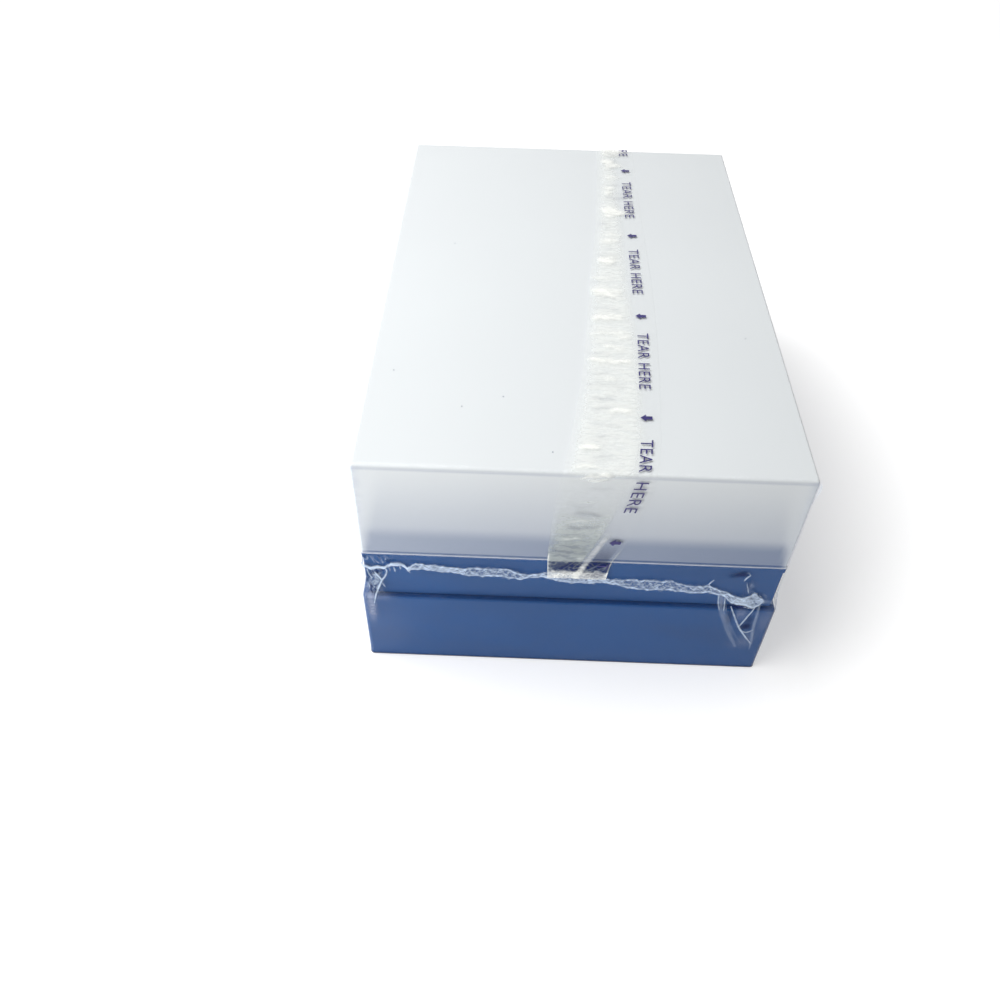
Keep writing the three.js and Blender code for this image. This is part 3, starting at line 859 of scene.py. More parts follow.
# Strands of the weld: place across its width, how far they swing, their waves, width in
# millimetres, whiteness and seed.
STRANDS = (
    (0.02, 0.10, (61, 97, 171), 0.24, 0.95, 41), (0.98, 0.10, (53, 89, 163), 0.26, 1.0, 42),
    (0.35, 0.75, (83, 127, 201), 0.17, 0.75, 43), (0.65, 0.75, (71, 139, 233), 0.17, 0.75, 44),
    (0.50, 0.95, (101, 157, 263), 0.15, 0.65, 45), (0.50, 0.85, (119, 187, 301), 0.14, 0.6, 46))

# Patches of the film near the front's two corners: girth, height, half width and half height in
# millimetres, whiteness, mostly a painted highlight and partly whitened film, and painted shade.
FILM_PATCHES = (
    (-41.0, 17.2, 0.9, 4.2, 0.4, 0.0), (-41.4, 22.0, 1.4, 3.0, 0.2, 0.0),
    (-39.2, 21.2, 2.6, 1.3, 0.14, 0.0), (-40.0, 26.0, 1.6, 3.6, 0.05, 0.0),
    (-38.5, 11.0, 5.5, 9.0, 0.04, 0.0), (-40.1, 27.5, 0.9, 0.9, 0.0, 0.5),
    (-38.5, 28.9, 0.7, 0.5, 0.0, 0.45), (-40.7, 23.4, 0.7, 1.0, 0.0, 0.35),
    (33.9, 31.8, 1.2, 0.6, 0.0, 0.85), (32.4, 31.2, 1.2, 0.7, 0.0, 0.4),
    (35.8, 27.8, 0.6, 1.5, 0.16, 0.0), (37.6, 15.4, 1.2, 0.6, 0.0, 0.9),
    (37.9, 17.6, 0.8, 1.5, 0.0, 0.35), (35.7, 19.9, 1.1, 1.9, 0.2, 0.0),
    (35.0, 22.3, 1.9, 0.7, 0.0, 0.75), (33.5, 18.6, 0.8, 2.8, 0.0, 0.3),
    (38.8, 11.0, 1.6, 2.6, 0.12, 0.0), (41.2, 18.0, 1.2, 4.5, 0.13, 0.0),
    (31.2, 23.6, 0.6, 1.8, 0.2, 0.0), (37.0, 8.8, 2.4, 1.6, 0.06, 0.0),
    (42.9, 11.0, 0.6, 11.5, 0.4, 0.0), (42.9, 25.0, 0.8, 4.5, 0.4, 0.0))

# Crinkled patches of film near the front corners: girth, height, half width and half height in
# millimetres, slant of the creases from upright in degrees, their spacing in millimetres, whiteness
# of the creases and painted shade between them.
CRINKLES = (
    (-39.2, 32.3, 3.3, 1.3, 22, 0.45, 0.8, 0.65), (-40.2, 26.4, 2.1, 4.8, 14, 0.45, 0.65, 0.65),
    (-40.0, 25.4, 2.0, 3.4, -48, 0.55, 0.5, 0.4), (37.3, 24.2, 2.8, 1.8, 55, 0.4, 0.8, 0.4),
    (36.2, 27.6, 1.2, 2.3, -20, 0.45, 0.5, 0.3))

# Specks of dust under the film on top: place across and along the box, in millimetres.
DUST = ((-15.0, -43.0), (-22.8, -46.3), (-5.6, -58.0), (-36.9, -36.1), (34.9, -21.6), (11.0, 33.0),
        (-28.0, 12.0))
DUST_RADIUS = 0.14 * MM


def past_front(places, column, other):
    """A column of the front's table along the front, which past the front's corners runs into what
    the other sides have."""
    around = signed_girth(places)
    front = np.interp(around, girth_of(FRONT_WELD[:, 0]), FRONT_WELD[:, column])
    return front + (other - front) * smooth_step(np.abs(around), HALF_X, HALF_X + PAST_CORNER)


def weld_height(places):
    """Height of the weld's upper edge round the box: the chosen line along the front, and elsewhere
    a plane that falls towards +X with a slow ripple. A fine ripple jags it all round."""
    across, _, angle = perimeter(places)
    x = across * (HALF_X - CORNER) + CORNER * np.cos(angle)
    plane = WELD_LEVEL - WELD_FALL * x + WELD_SWAY * ripples(places, (9, 17), 11)
    return past_front(places, 1, plane) + WELD_JAG * ripples(places, (90, 150, 230), 12)


def weld_width(places):
    """Width of the weld: as chosen along the front, and on the other sides waxing and waning."""
    other = (1.5 + 0.9 * ripples(places, (7, 19, 31), 13)) * MM
    return np.maximum(past_front(places, 2, other), 0.3 * MM)


def film_inset(places, height):
    """The film's inset at a height: outside the tray, leaning in across the step above it, then
    outside the flange and the lid. It takes more height over the step near a corner."""
    taut = 1 - smooth_step(corner_distance(places), 5 * MM, 22 * MM)
    span = STEP_SPAN + CORNER_SPAN * taut
    step = np.clip((height - RIM_Z) / span, 0, 1) * FLANGE_INSET
    lean = np.clip((height - BEAD_TOP) / (LID_TOP_Z - BEAD_TOP), 0, 1) * LID_LEAN
    return step + lean - FILM_STAND


def film_slack(places, height):
    """Distance that slack film stands out: puckers along the weld that die away above and below
    it, and slow upright folds near the corners, but not at their very edges. There is more room for
    both over the step above the tray."""
    from_weld = (height - weld_height(places)) / PUCKER_HEIGHT
    away = corner_distance(places)
    puckers = 0.7 * ripples(places + 0.25 * (height - SHOULDER_Z), (52, 83, 121), 21)
    puckers = puckers * (0.25 + 0.75 * smooth_step(away, 1.5 * MM, 7 * MM))
    folds = 0.4 * ripples(places + 0.2 * height, (61, 107), 22)
    folds = folds * (1 - smooth_step(away, 3 * MM, 12 * MM)) * smooth_step(away, 1.0 * MM, 3 * MM)
    room = smooth_step(height, RIM_Z - 1 * MM, RIM_Z + 4 * MM)
    slack = puckers * bell(from_weld, 0, 1) + folds * bell(from_weld, 0, 2.5)
    return (SLACK_PLAIN + SLACK_ROOM * room) * np.maximum(slack, -0.3)


def on_film(places, height, stand):
    """Points on the film's wall, stood off it by a distance, but never past the film's reach."""
    inset = film_inset(places, height) - film_slack(places, height) - stand
    return outward(places, np.maximum(inset, -FILM_REACH), height)


def even_rows(start, end, count):
    """Rows of heights at even steps from one height to another."""
    return start + (end - start) * np.linspace(0, 1, count)[:, None]


def web_columns():
    """Places of the film's columns, close enough for its puckers."""
    return girth_places(FILM_STEP, FILM_CORNER_STEPS)


def upper_web():
    """Film from the weld up the wall, over the lid's edge and across the top, with close rows where
    it is drawn over the bead."""
    skin = Skin(haze=0.0, gloom=0.0)
    places = web_columns()
    foot = weld_height(places) - 0.5 * weld_width(places)
    edge = LID_TOP_Z + FILM_STAND - EDGE_ROUND
    fine = SHOULDER_Z + np.linspace(-0.6, 0.6, 13)[:, None] * MM
    height = np.concatenate([even_rows(foot, fine[0], 13)[:-1], fine + 0 * foot,
                             even_rows(fine[-1], edge, 36)[1:] + 0 * foot])
    wall = on_film(places, height, 0)
    angle = np.linspace(0, math.pi / 2, 7)[1:]
    base = FLANGE_INSET + LID_LEAN - FILM_STAND
    on_top = base + np.array([2.5, 6, 14]) * MM
    insets = np.concatenate([base + EDGE_ROUND * (1 - np.cos(angle)), on_top])
    heights = np.concatenate([edge + EDGE_ROUND * np.sin(angle), np.full(3, edge + EDGE_ROUND)])
    points = np.concatenate([wall, rings(places, insets, heights)])
    haze, gloom = film_patches(places, points[..., 2])
    skin.grid(points, haze=haze, gloom=gloom)
    skin.cap_last(len(places))
    return skin


def lower_web():
    """Film across the underside, round the foot and up the wall to the weld, with close rows where
    it leaves the tray's rim."""
    skin = Skin(haze=0.0, gloom=0.0)
    places = web_columns()
    under = FOOT_Z - FOOT_STAND
    angle = np.linspace(-math.pi / 2, 0, 6)
    insets = np.concatenate([[CAP_INSET], FOOT_ROUND * (1 - np.cos(angle)) - FILM_STAND])
    heights = np.concatenate([[under], under + FOOT_ROUND * (1 + np.sin(angle))])
    foot = under + FOOT_ROUND
    top = weld_height(places) - 0.5 * weld_width(places)
    fine = RIM_Z + np.linspace(-1.2, 1.6, 15)[:, None] * MM
    height = np.concatenate([even_rows(foot, fine[0], 26)[1:-1] + 0 * top, fine + 0 * top,
                             even_rows(fine[-1], top, 20)[1:]])
    points = np.concatenate([rings(places, insets, heights), on_film(places, height, 0)])
    haze, gloom = film_patches(places, points[..., 2])
    skin.grid(points, haze=haze, gloom=gloom)
    skin.cap_first(len(places))
    return skin


def film_patches(places, height):
    """Whiteness and painted shade of the film. It has painted glints where it is drawn over the
    lid's bead and down the lid's corners. It has painted shade at the foot, and in the step above
    the tray's rim except at the left end of the front. The chosen round patches lie near the front
    corners, and the same, mirrored, near the back corners."""
    around = signed_girth(places)
    on_lid = smooth_step(height, LID_FOOT_Z, LID_FOOT_Z + 1.5 * MM)
    on_lid = on_lid * (1 - smooth_step(height, LID_TOP_Z - 0.5 * MM, LID_TOP_Z))
    haze = CORNER_GLINT * on_lid * bell(corner_distance(places), 0, 1.7 * MM)
    haze = haze + BEAD_GLINT * bell(height, LID_FOOT_Z + 0.2 * MM, 0.2 * MM)
    taut = (1 - smooth_step(around, -HALF_X, -HALF_X + 8 * MM)) * (np.abs(around) < HALF_X)
    gloom = STEP_PAINTED_SHADE * (1 - taut) * bell(height, RIM_Z + 0.9 * MM, 0.6 * MM)
    gloom = gloom + FOOT_PAINTED_SHADE * bell(height, FOOT_Z, 0.3 * MM)
    for middle, level, wide, high, white, painted_dark in FILM_PATCHES:
        for centre in (middle * MM, GIRTH / 2 - middle * MM):
            along = signed_girth(places - centre) / (wide * MM)
            up = (height - level * MM) / (high * MM)
            patch = np.exp(-(along ** 2 + up ** 2) ** 1.5)
            haze, gloom = haze + white * patch, gloom + painted_dark * patch
    return np.clip(haze, 0, 1), np.clip(gloom, 0, 0.9)


def through(points, count):
    """Smooth path through points: cubic Hermite pieces whose slopes are the central differences."""
    points = np.asarray(points, float)
    slopes = np.gradient(points, axis=0)
    place = np.linspace(0, len(points) - 1, count)
    index = np.minimum(place.astype(int), len(points) - 2)
    t = (place - index)[:, None]
    before, after = points[index], points[index + 1]
    rise = (2 * t ** 3 - 3 * t ** 2 + 1) * before + (3 * t ** 2 - 2 * t ** 3) * after
    return rise + (t ** 3 - 2 * t ** 2 + t) * slopes[index] + (t ** 3 - t ** 2) * slopes[index + 1]


# Points across a fold and along it, its height and its feet's, and its ends' angle in a half turn.
STRIP_ROWS, STRIP_COLUMNS = 7, 28
STRIP_HEIGHT, STRIP_FOOT, STRIP_END = 0.12 * MM, 0.03 * MM, 0.2


def strip(skin, path, width, whiteness):
    """Raised strip on the film along a path of (girth, height): its section is an arch whose feet
    lie on the film, and it whitens towards its middle, as whitened film and as a painted highlight."""
    tangent = np.gradient(path, axis=0)
    tangent /= np.linalg.norm(tangent, axis=1, keepdims=True)
    normal = np.stack([-tangent[:, 1], tangent[:, 0]], axis=-1)
    across = np.linspace(-1, 1, STRIP_ROWS)[:, None]
    places = path[:, 0] + normal[:, 0] * across * width / 2
    height = path[:, 1] + normal[:, 1] * across * width / 2
    arch = 1 - across ** 2
    points = on_film(places, height, STRIP_FOOT + STRIP_HEIGHT * arch)
    skin.grid(points, close_columns=False, haze=whiteness * arch)


# ---- Weld lines and folds ------------------------------------------------------------------------

# Round the girth: the tear tape's end on the front and the half widths over which it fades into the
# weld, the knot and the sheet of film in the weld with their widths, and where the weld thins out
# and comes back.
TAPE_END_PLACE, TAPE_END_FADE = 0.8 * MM, (4.8 * MM, 6.2 * MM)
KNOT, SHEET = (35.8 * MM, 3.4 * MM), (-25.6 * MM, 3.6 * MM)
THIN_FROM, THIN_TO = (39 * MM, 40 * MM), (42.5 * MM, 50 * MM)

CHANCE_SHIFT = 40                # picks a part of the chance table for the crinkled patches
EAR_HEIGHT, EAR_HALF_WIDTH, EAR_STAND = 6 * MM, 0.8 * MM, 0.45 * MM

# Folds of the film near the front's two corners: (girth, height) points in millimetres, width in
# millimetres, and how white the fold is, partly whitened film and partly a painted highlight.
FRONT_FOLDS = (
    (((-37.9, 30.0), (-37.3, 28.9), (-37.7, 27.1), (-38.4, 25.8), (-39.2, 23.6), (-39.8, 21.8),
      (-40.4, 19.0)), 0.6, 0.8),
    (((-39.8, 28.4), (-39.1, 27.0), (-38.4, 25.8)), 0.55, 0.8),
    (((-38.4, 25.2), (-37.8, 24.0)), 0.4, 0.6),
    (((-41.2, 29.2), (-40.9, 27.6), (-40.3, 26.4)), 0.5, 0.6),
    (((-35.7, 30.2), (-35.5, 28.7)), 0.45, 0.7),
    (((-34.6, 30.5), (-34.4, 29.5)), 0.4, 0.6), (((-33.4, 30.2), (-32.5, 28.5)), 0.45, 0.6),
    (((-36.6, 29.9), (-36.5, 28.9)), 0.35, 0.4),
    (((28.4, 29.9), (27.9, 28.9), (27.7, 28.2)), 0.35, 0.8),
    (((27.7, 28.3), (28.2, 27.0), (28.7, 26.0)), 0.3, 0.7),
    (((27.7, 28.4), (27.1, 27.8)), 0.3, 0.5),
    (((35.3, 31.7), (34.7, 30.8), (34.4, 29.9)), 0.4, 0.85),
    (((35.3, 31.8), (34.6, 32.6)), 0.4, 0.35),
    (((35.1, 29.2), (35.6, 27.6), (36.1, 26.0)), 0.3, 0.5),
    (((33.2, 22.2), (34.5, 19.2), (36.2, 15.4), (38.3, 12.0), (39.9, 9.7)), 0.6, 0.75),
    (((38.2, 22.4), (37.1, 18.6), (36.2, 15.4)), 0.55, 0.7),
    (((38.9, 23.2), (39.1, 19.5), (39.3, 15.6), (39.8, 11.7), (40.2, 7.6)), 1.0, 0.26),
    (((37.0, 14.1), (38.2, 13.5), (39.4, 14.5)), 0.55, 0.5),
    (((30.5, 25.0), (30.7, 23.6), (31.9, 19.8), (33.7, 15.3), (35.4, 11.4), (37.0, 8.2)),
     1.5, 0.22),
    (((31.9, 24.0), (32.2, 21.8), (33.3, 18.3), (35.5, 13.4), (37.9, 9.5)), 0.8, 0.12),
    (((30.3, 25.6), (30.4, 23.4), (31.0, 21.0)), 0.35, 0.6),
    (((31.6, 25.0), (31.8, 22.6), (32.0, 20.6)), 0.35, 0.6),
)


def weld_lace(places, below, width):
    """Whiteness of the weld at a distance below its upper edge: strands that wander across its
    width, each a narrow bell, and a thin crinkled whitening between them. It is denser where the
    tear tape ends in it, where the film is knotted by the front's right corner, and in a sheet
    towards the left one, and it thins out just past the right corner."""
    around = signed_girth(places)
    clear = np.ones_like(places + below)
    for middle, swing, waves, thick, white, seed in STRANDS:
        place = width * (middle + swing * ripples(places, waves, seed))
        strength = white * (0.72 + 0.5 * ripples(places, (181, 293, 431), seed + 10))
        clear *= 1 - np.clip(strength, 0, 1) * bell(below, place, thick * MM)
    soft = (-0.25 * MM, 0.15 * MM)
    inside = smooth_step(below, *soft) * smooth_step(width - below, *soft)
    bundle = 0
    for middle in (TAPE_END_PLACE, GIRTH / 2):
        away = np.abs(signed_girth(places - middle))
        bundle = np.maximum(bundle, 1 - smooth_step(away, *TAPE_END_FADE))
    knot, sheet = bell(around, *KNOT), bell(around, *SHEET)
    crinkles = creased(places / (0.75 * MM), below / (0.5 * MM), 51, 2.6)
    finer = creased(places / (0.4 * MM), below / (0.34 * MM), 52, 2.6)
    crinkles = np.maximum(crinkles, 0.8 * finer)
    clear *= 1 - inside * np.clip(0.1 + 0.2 * bundle + 0.35 * knot + 0.35 * sheet, 0, 1)
    clear *= 1 - inside * crinkles * (0.3 + 0.35 * np.maximum(bundle, knot))
    thin = smooth_step(around, *THIN_FROM) - smooth_step(around, *THIN_TO)
    return (1 - clear) * (1 - 0.85 * thin)


def weld_skin(wrap):
    """The weld as one fine band of film, whitened and raised where its strands run."""
    skin = Skin(haze=0.0)
    count = math.ceil(GIRTH / WELD_STEP)
    places = np.arange(count) * GIRTH / count
    top, width = weld_height(places), weld_width(places)
    below = (width + 2 * WELD_MARGIN) * np.linspace(1, 0, 30)[:, None] - WELD_MARGIN
    haze = weld_lace(places, below, width) * wrap.weld_white
    skin.grid(on_film(places, top - below, WELD_FOOT + WELD_HEIGHT * haze), haze=haze)
    return skin


def crinkled_patch(skin, centre, side, level, wide, high, slant, spacing, white, painted_dark):
    """A raised patch of film with creases that lean by its slant: the creases whiten and painted
    shade lies between them. It fades towards its rim.
    """
    across, up = np.linspace(-1, 1, 45), np.linspace(-1, 1, 61)[:, None]
    places, height = centre + across * wide * MM, level * MM + up * high * MM
    lean = math.radians(slant)
    flat, rise = side * (places - centre) / (spacing * MM), (height - level * MM) / (spacing * MM)
    over = flat * math.cos(lean) + rise * math.sin(lean)
    along = rise * math.cos(lean) - flat * math.sin(lean)
    field = (over + CHANCE_SHIFT, along / 4 + CHANCE_SHIFT, round(level * 10))
    lines = creased(*field, 4.5)
    painted_hollow_shade = smooth_step(lattice_noise(*field), 0.2, 0.6)
    fade = (1 - across ** 2) * (1 - up ** 4)
    points = on_film(places, height, 0.04 * MM + 0.05 * MM * lines)
    skin.grid(points, close_columns=False, haze=white * fade * lines, gloom=painted_dark * fade * painted_hollow_shade)


def folds_skin():
    """Creases and crinkled patches at the front corners as they fell, and the same, mirrored, at
    the back corners, with the creases set at the weld's own height. A crease thins out towards both
    ends. The dust lies on top in small discs."""
    skin = Skin(haze=0.0, gloom=0.0)
    for middle, *patch in CRINKLES:
        crinkled_patch(skin, middle * MM, 1, *patch)
        crinkled_patch(skin, GIRTH / 2 - middle * MM, -1, *patch)
    turn = np.linspace(0, 2 * math.pi, 8, endpoint=False)
    radius = np.array([0.01 * MM, DUST_RADIUS])[:, None]
    for x, y in DUST:
        disc = np.stack(np.broadcast_arrays(
            x * MM + radius * np.cos(turn), y * MM + radius * np.sin(turn),
            LID_TOP_Z + FILM_STAND + 0.02 * MM), axis=-1)
        skin.grid(disc[::-1], haze=0.3, gloom=0.5)
    for points, width, white in FRONT_FOLDS:
        path = through(np.array(points) * MM, STRIP_COLUMNS)
        ends = np.sin(np.linspace(STRIP_END, math.pi - STRIP_END, len(path))) ** 0.5
        strip(skin, path, width * MM * ends, white)
        back = path * (-1, 1) + (GIRTH / 2, 0)
        back[:, 1] += weld_height(back[:1, 0]) - weld_height(path[:1, 0])
        strip(skin, back[::-1], width * MM * ends, white)
    return skin


def ears_skin():
    """Small fins of film pinched together at the lid's four top corners: two leaves that meet in an
    edge, which stands out most just under the top."""
    skin = Skin(haze=0.0)
    corner = HALF_X - CORNER + CORNER * math.pi / 4
    down = np.linspace(1, 0, 14)[:, None]
    height = LID_TOP_Z + 0.1 * MM - EAR_HEIGHT * down
    stand = EAR_STAND * np.sin(math.pi * (1 - down) ** 2.2)
    across = np.linspace(-1, 1, 7)
    side = 2 * (HALF_Y - CORNER) + CORNER * math.pi / 2
    for middle in (corner, corner + side, -corner, -corner - side):
        places = middle + across * EAR_HALF_WIDTH + 0 * height
        inset = film_inset(places, height) - stand * (1 - np.abs(across)) ** 1.5
        skin.grid(outward(places, inset - STRIP_FOOT, height), close_columns=False,
                  haze=0.2 * (1 - np.abs(across)))
    return skin


# ---- Tear tape -----------------------------------------------------------------------------------

# Edges of the tape across the box, against the distance along it: 0 at the front top edge, growing
# backwards over the top and falling down the front. Millimetres, as are the print's line, the edge
# of the wrinkled part and the slanted fold.
TAPE_ALONG = (-29.5, -27.2, -23.6, -19.3, -14.8, -10.5, -6.3, -1, 8.5, 27, 43, 61, 85, 126, 156)
TAPE_RIGHT = (6.8, 7.0, 7.5, 9.3, 10.5, 11.3, 12.2, 12.8, 14.4, 15.8, 16.6, 17.0, 16.9, 17.1, 17.4)
TAPE_LEFT = (-4.9, -5.0, -5.2, -5.2, -5.1, -4.9, -4.8, -4.0, -2.3, 0.4, 1.8, 3.2, 5.5, 7.4, 8.6)
PRINT_ALONG = (-30, -23.2, -17.9, -12.5, -7, -1.5, 9, 21.2, 41.7, 53.6, 74.8, 126, 156)
PRINT_ACROSS = (4.6, 6.3, 7.4, 8.5, 9.6, 10.5, 11.8, 12.4, 13.5, 13.5, 13.8, 14.5, 15.0)
WRINKLE_EDGE = (-0.5, 0.6, 1.8, 3.6, 5.0, 6.2, 7.3, 8.6, 10.6, 11.5, 11.5, 10.7, 10.9, 11.5, 12.0)
FOLD_ALONG = (-28, -26.5, -23.2, -18.9, -15)
FOLD_ACROSS = (0.7, 1.6, 2.8, 4.6, 6.2)
TAPE_STAND = 0.33 * MM           # off the mouldings, outside the film
TAPE_LOW = RIM_Z + 5 * MM        # where its route ends, below the weld
ROUTE_STEPS = 1600

# Levels down a wall from the top edge, in millimetres, over which the tape turns onto the wall,
# goes slack, passes the lid's foot and is gathered into the weld.
ON_WALL, SLACKENING, OVER_BLUE, GATHERED = (-0.3, 0.6), (3, 20), (23.8, 24.4), (26.4, 27.4)

# Wrinkles: distance along the tape, where they begin and end across the box, half thickness, all in
# millimetres, and the strength of their painted glints. A negative number gives painted shade
# instead.
WRINKLES = (
    (61.9, 3.2, 8.0, 0.35, 0.5), (60.6, 3.0, 7.0, 0.4, -0.08), (56.5, 3.0, 10.0, 0.8, 0.9),
    (54.2, 4.0, 9.0, 0.5, -0.08), (50.4, 3.2, 9.8, 0.35, -0.12), (47.1, 2.7, 10.0, 0.5, 0.8),
    (41.4, 1.6, 11.3, 0.4, 0.35), (39.8, 8.0, 11.0, 0.3, 0.6), (36.6, 5.0, 9.4, 0.3, 0.9),
    (34.6, 1.8, 6.0, 0.35, -0.14), (32.2, 1.4, 10.5, 0.3, 0.75), (28.2, 1.9, 6.0, 0.4, -0.16),
    (26.4, 4.6, 7.4, 0.35, 0.6), (24.4, 0.9, 9.0, 0.7, -0.10), (20.4, 1.6, 7.0, 0.4, -0.22),
    (17.3, 1.6, 6.0, 0.35, -0.22), (16.8, 5.0, 9.6, 0.3, 0.7), (12.6, 1.2, 7.6, 0.35, -0.14),
    (9.7, 2.0, 4.6, 0.4, -0.22), (6.3, -1.0, 3.4, 0.35, 0.9), (4.1, 1.0, 6.0, 0.6, -0.12),
    (1.2, -2.0, 3.0, 0.3, 0.5), (-0.5, -1.0, 5.2, 0.3, 0.9), (-1.3, 0.5, 4.6, 0.3, 0.8),
    (-3.2, 1.0, 6.0, 0.5, -0.10), (-7.0, 0.0, 3.4, 0.3, 0.3), (-8.0, -1.8, 2.6, 0.4, -0.12),
    (-10.3, -1.3, 4.4, 0.55, -0.3), (-12.2, -2.0, 2.4, 0.3, 0.25), (-13.9, -2.5, 4.0, 0.45, -0.32),
    (-16.3, -3.4, 2.2, 0.35, -0.22), (-17.4, -3.0, 1.0, 0.3, 0.3), (-19.3, -3.6, 1.2, 0.4, -0.36),
    (-20.4, -2.0, 2.6, 0.3, -0.2), (-21.2, -4.8, 2.4, 0.45, -0.4), (-22.5, -4.6, -0.6, 0.35, -0.4),
    (-23.0, 0.2, 2.4, 0.3, 0.35))


def tape_route():
    """Line over the top of the box, from the front weld to the back one, as (y, z, outward y,
    outward z) at even steps, with its distances from the front top edge."""
    wall, top_wall = HALF_Y - FLANGE_INSET, HALF_Y - FLANGE_INSET - LID_LEAN
    corners = [(-wall, TAPE_LOW), (-wall, BEAD_TOP), (-top_wall, LID_TOP_Z), (top_wall, LID_TOP_Z),
               (wall, BEAD_TOP), (wall, TAPE_LOW)]
    line = filleted(corners, np.array([5, 0.4, 0.4, 5]) * MM, 12)
    length = np.append(0, np.cumsum(np.linalg.norm(np.diff(line, axis=0), axis=1)))
    even = np.linspace(0, length[-1], ROUTE_STEPS)
    line = np.stack([np.interp(even, length, line[:, axis]) for axis in (0, 1)], axis=-1)
    tangent = np.gradient(line, axis=0)
    tangent /= np.linalg.norm(tangent, axis=1, keepdims=True)
    edge = np.argmax(line[:, 1] > LID_TOP_Z - 0.2 * MM)
    return even - even[edge], np.concatenate([line, -tangent[:, 1:], tangent[:, :1]], axis=-1)


ROUTE_PLACES, ROUTE = tape_route()


def on_tape(along, across, stand):
    """Point over the box at a distance along the tape, a place across the box and a stand off
    it."""
    y, z, out_y, out_z = (np.interp(along, ROUTE_PLACES, ROUTE[:, k]) for k in range(4))
    return np.stack(np.broadcast_arrays(across, y + out_y * stand, z + out_z * stand), axis=-1)


def tape_line(along, table, knots=TAPE_ALONG):
    """A place across the box, read from one of the tape's tables."""
    return np.interp(along / MM, knots, table) * MM


def later_wrinkles(count=44):
    """Wrinkles on the back half, where none are chosen, from a fixed seed."""
    draw = np.random.default_rng(31)
    at = draw.uniform(66, 150, count)
    left = tape_line(at * MM, TAPE_LEFT) / MM + draw.uniform(0.3, 3, count)
    return np.stack([at, left, left + draw.uniform(2, 6, count), draw.uniform(0.3, 0.7, count),
                     draw.choice([-0.2, -0.12, 0.5, 0.8], count)], axis=-1)


def tape_wrinkles(along, across):
    """Painted glints and painted shade of the cross wrinkles: each is a narrow bell along the tape,
    bent by two sine waves and faded at its two ends. The painted glints on top are wider."""
    white, painted_dark = 0 * (along + across), 0 * (along + across)
    x = across / MM
    for place, start, end, thick, strength in (*WRINKLES, *later_wrinkles()):
        spread = 1.8 if place > 2 and strength > 0 else 1.0
        bend = 0.3 * MM * np.sin(x * 0.55 + place) + 0.12 * MM * np.sin(x * 2.3 + place)
        ridge = bell(along, place * MM + bend, spread * thick * MM)
        ridge = ridge * smooth_step(across, (start - 0.4) * MM, (start + 1.3) * MM) * (
            1 - smooth_step(across, (end - 1.3) * MM, (end + 0.4) * MM))
        white, painted_dark = white + max(strength, 0) * ridge, painted_dark + max(-strength, 0) * ridge
    return np.clip(white, 0, 1), np.clip(painted_dark, 0, 1)


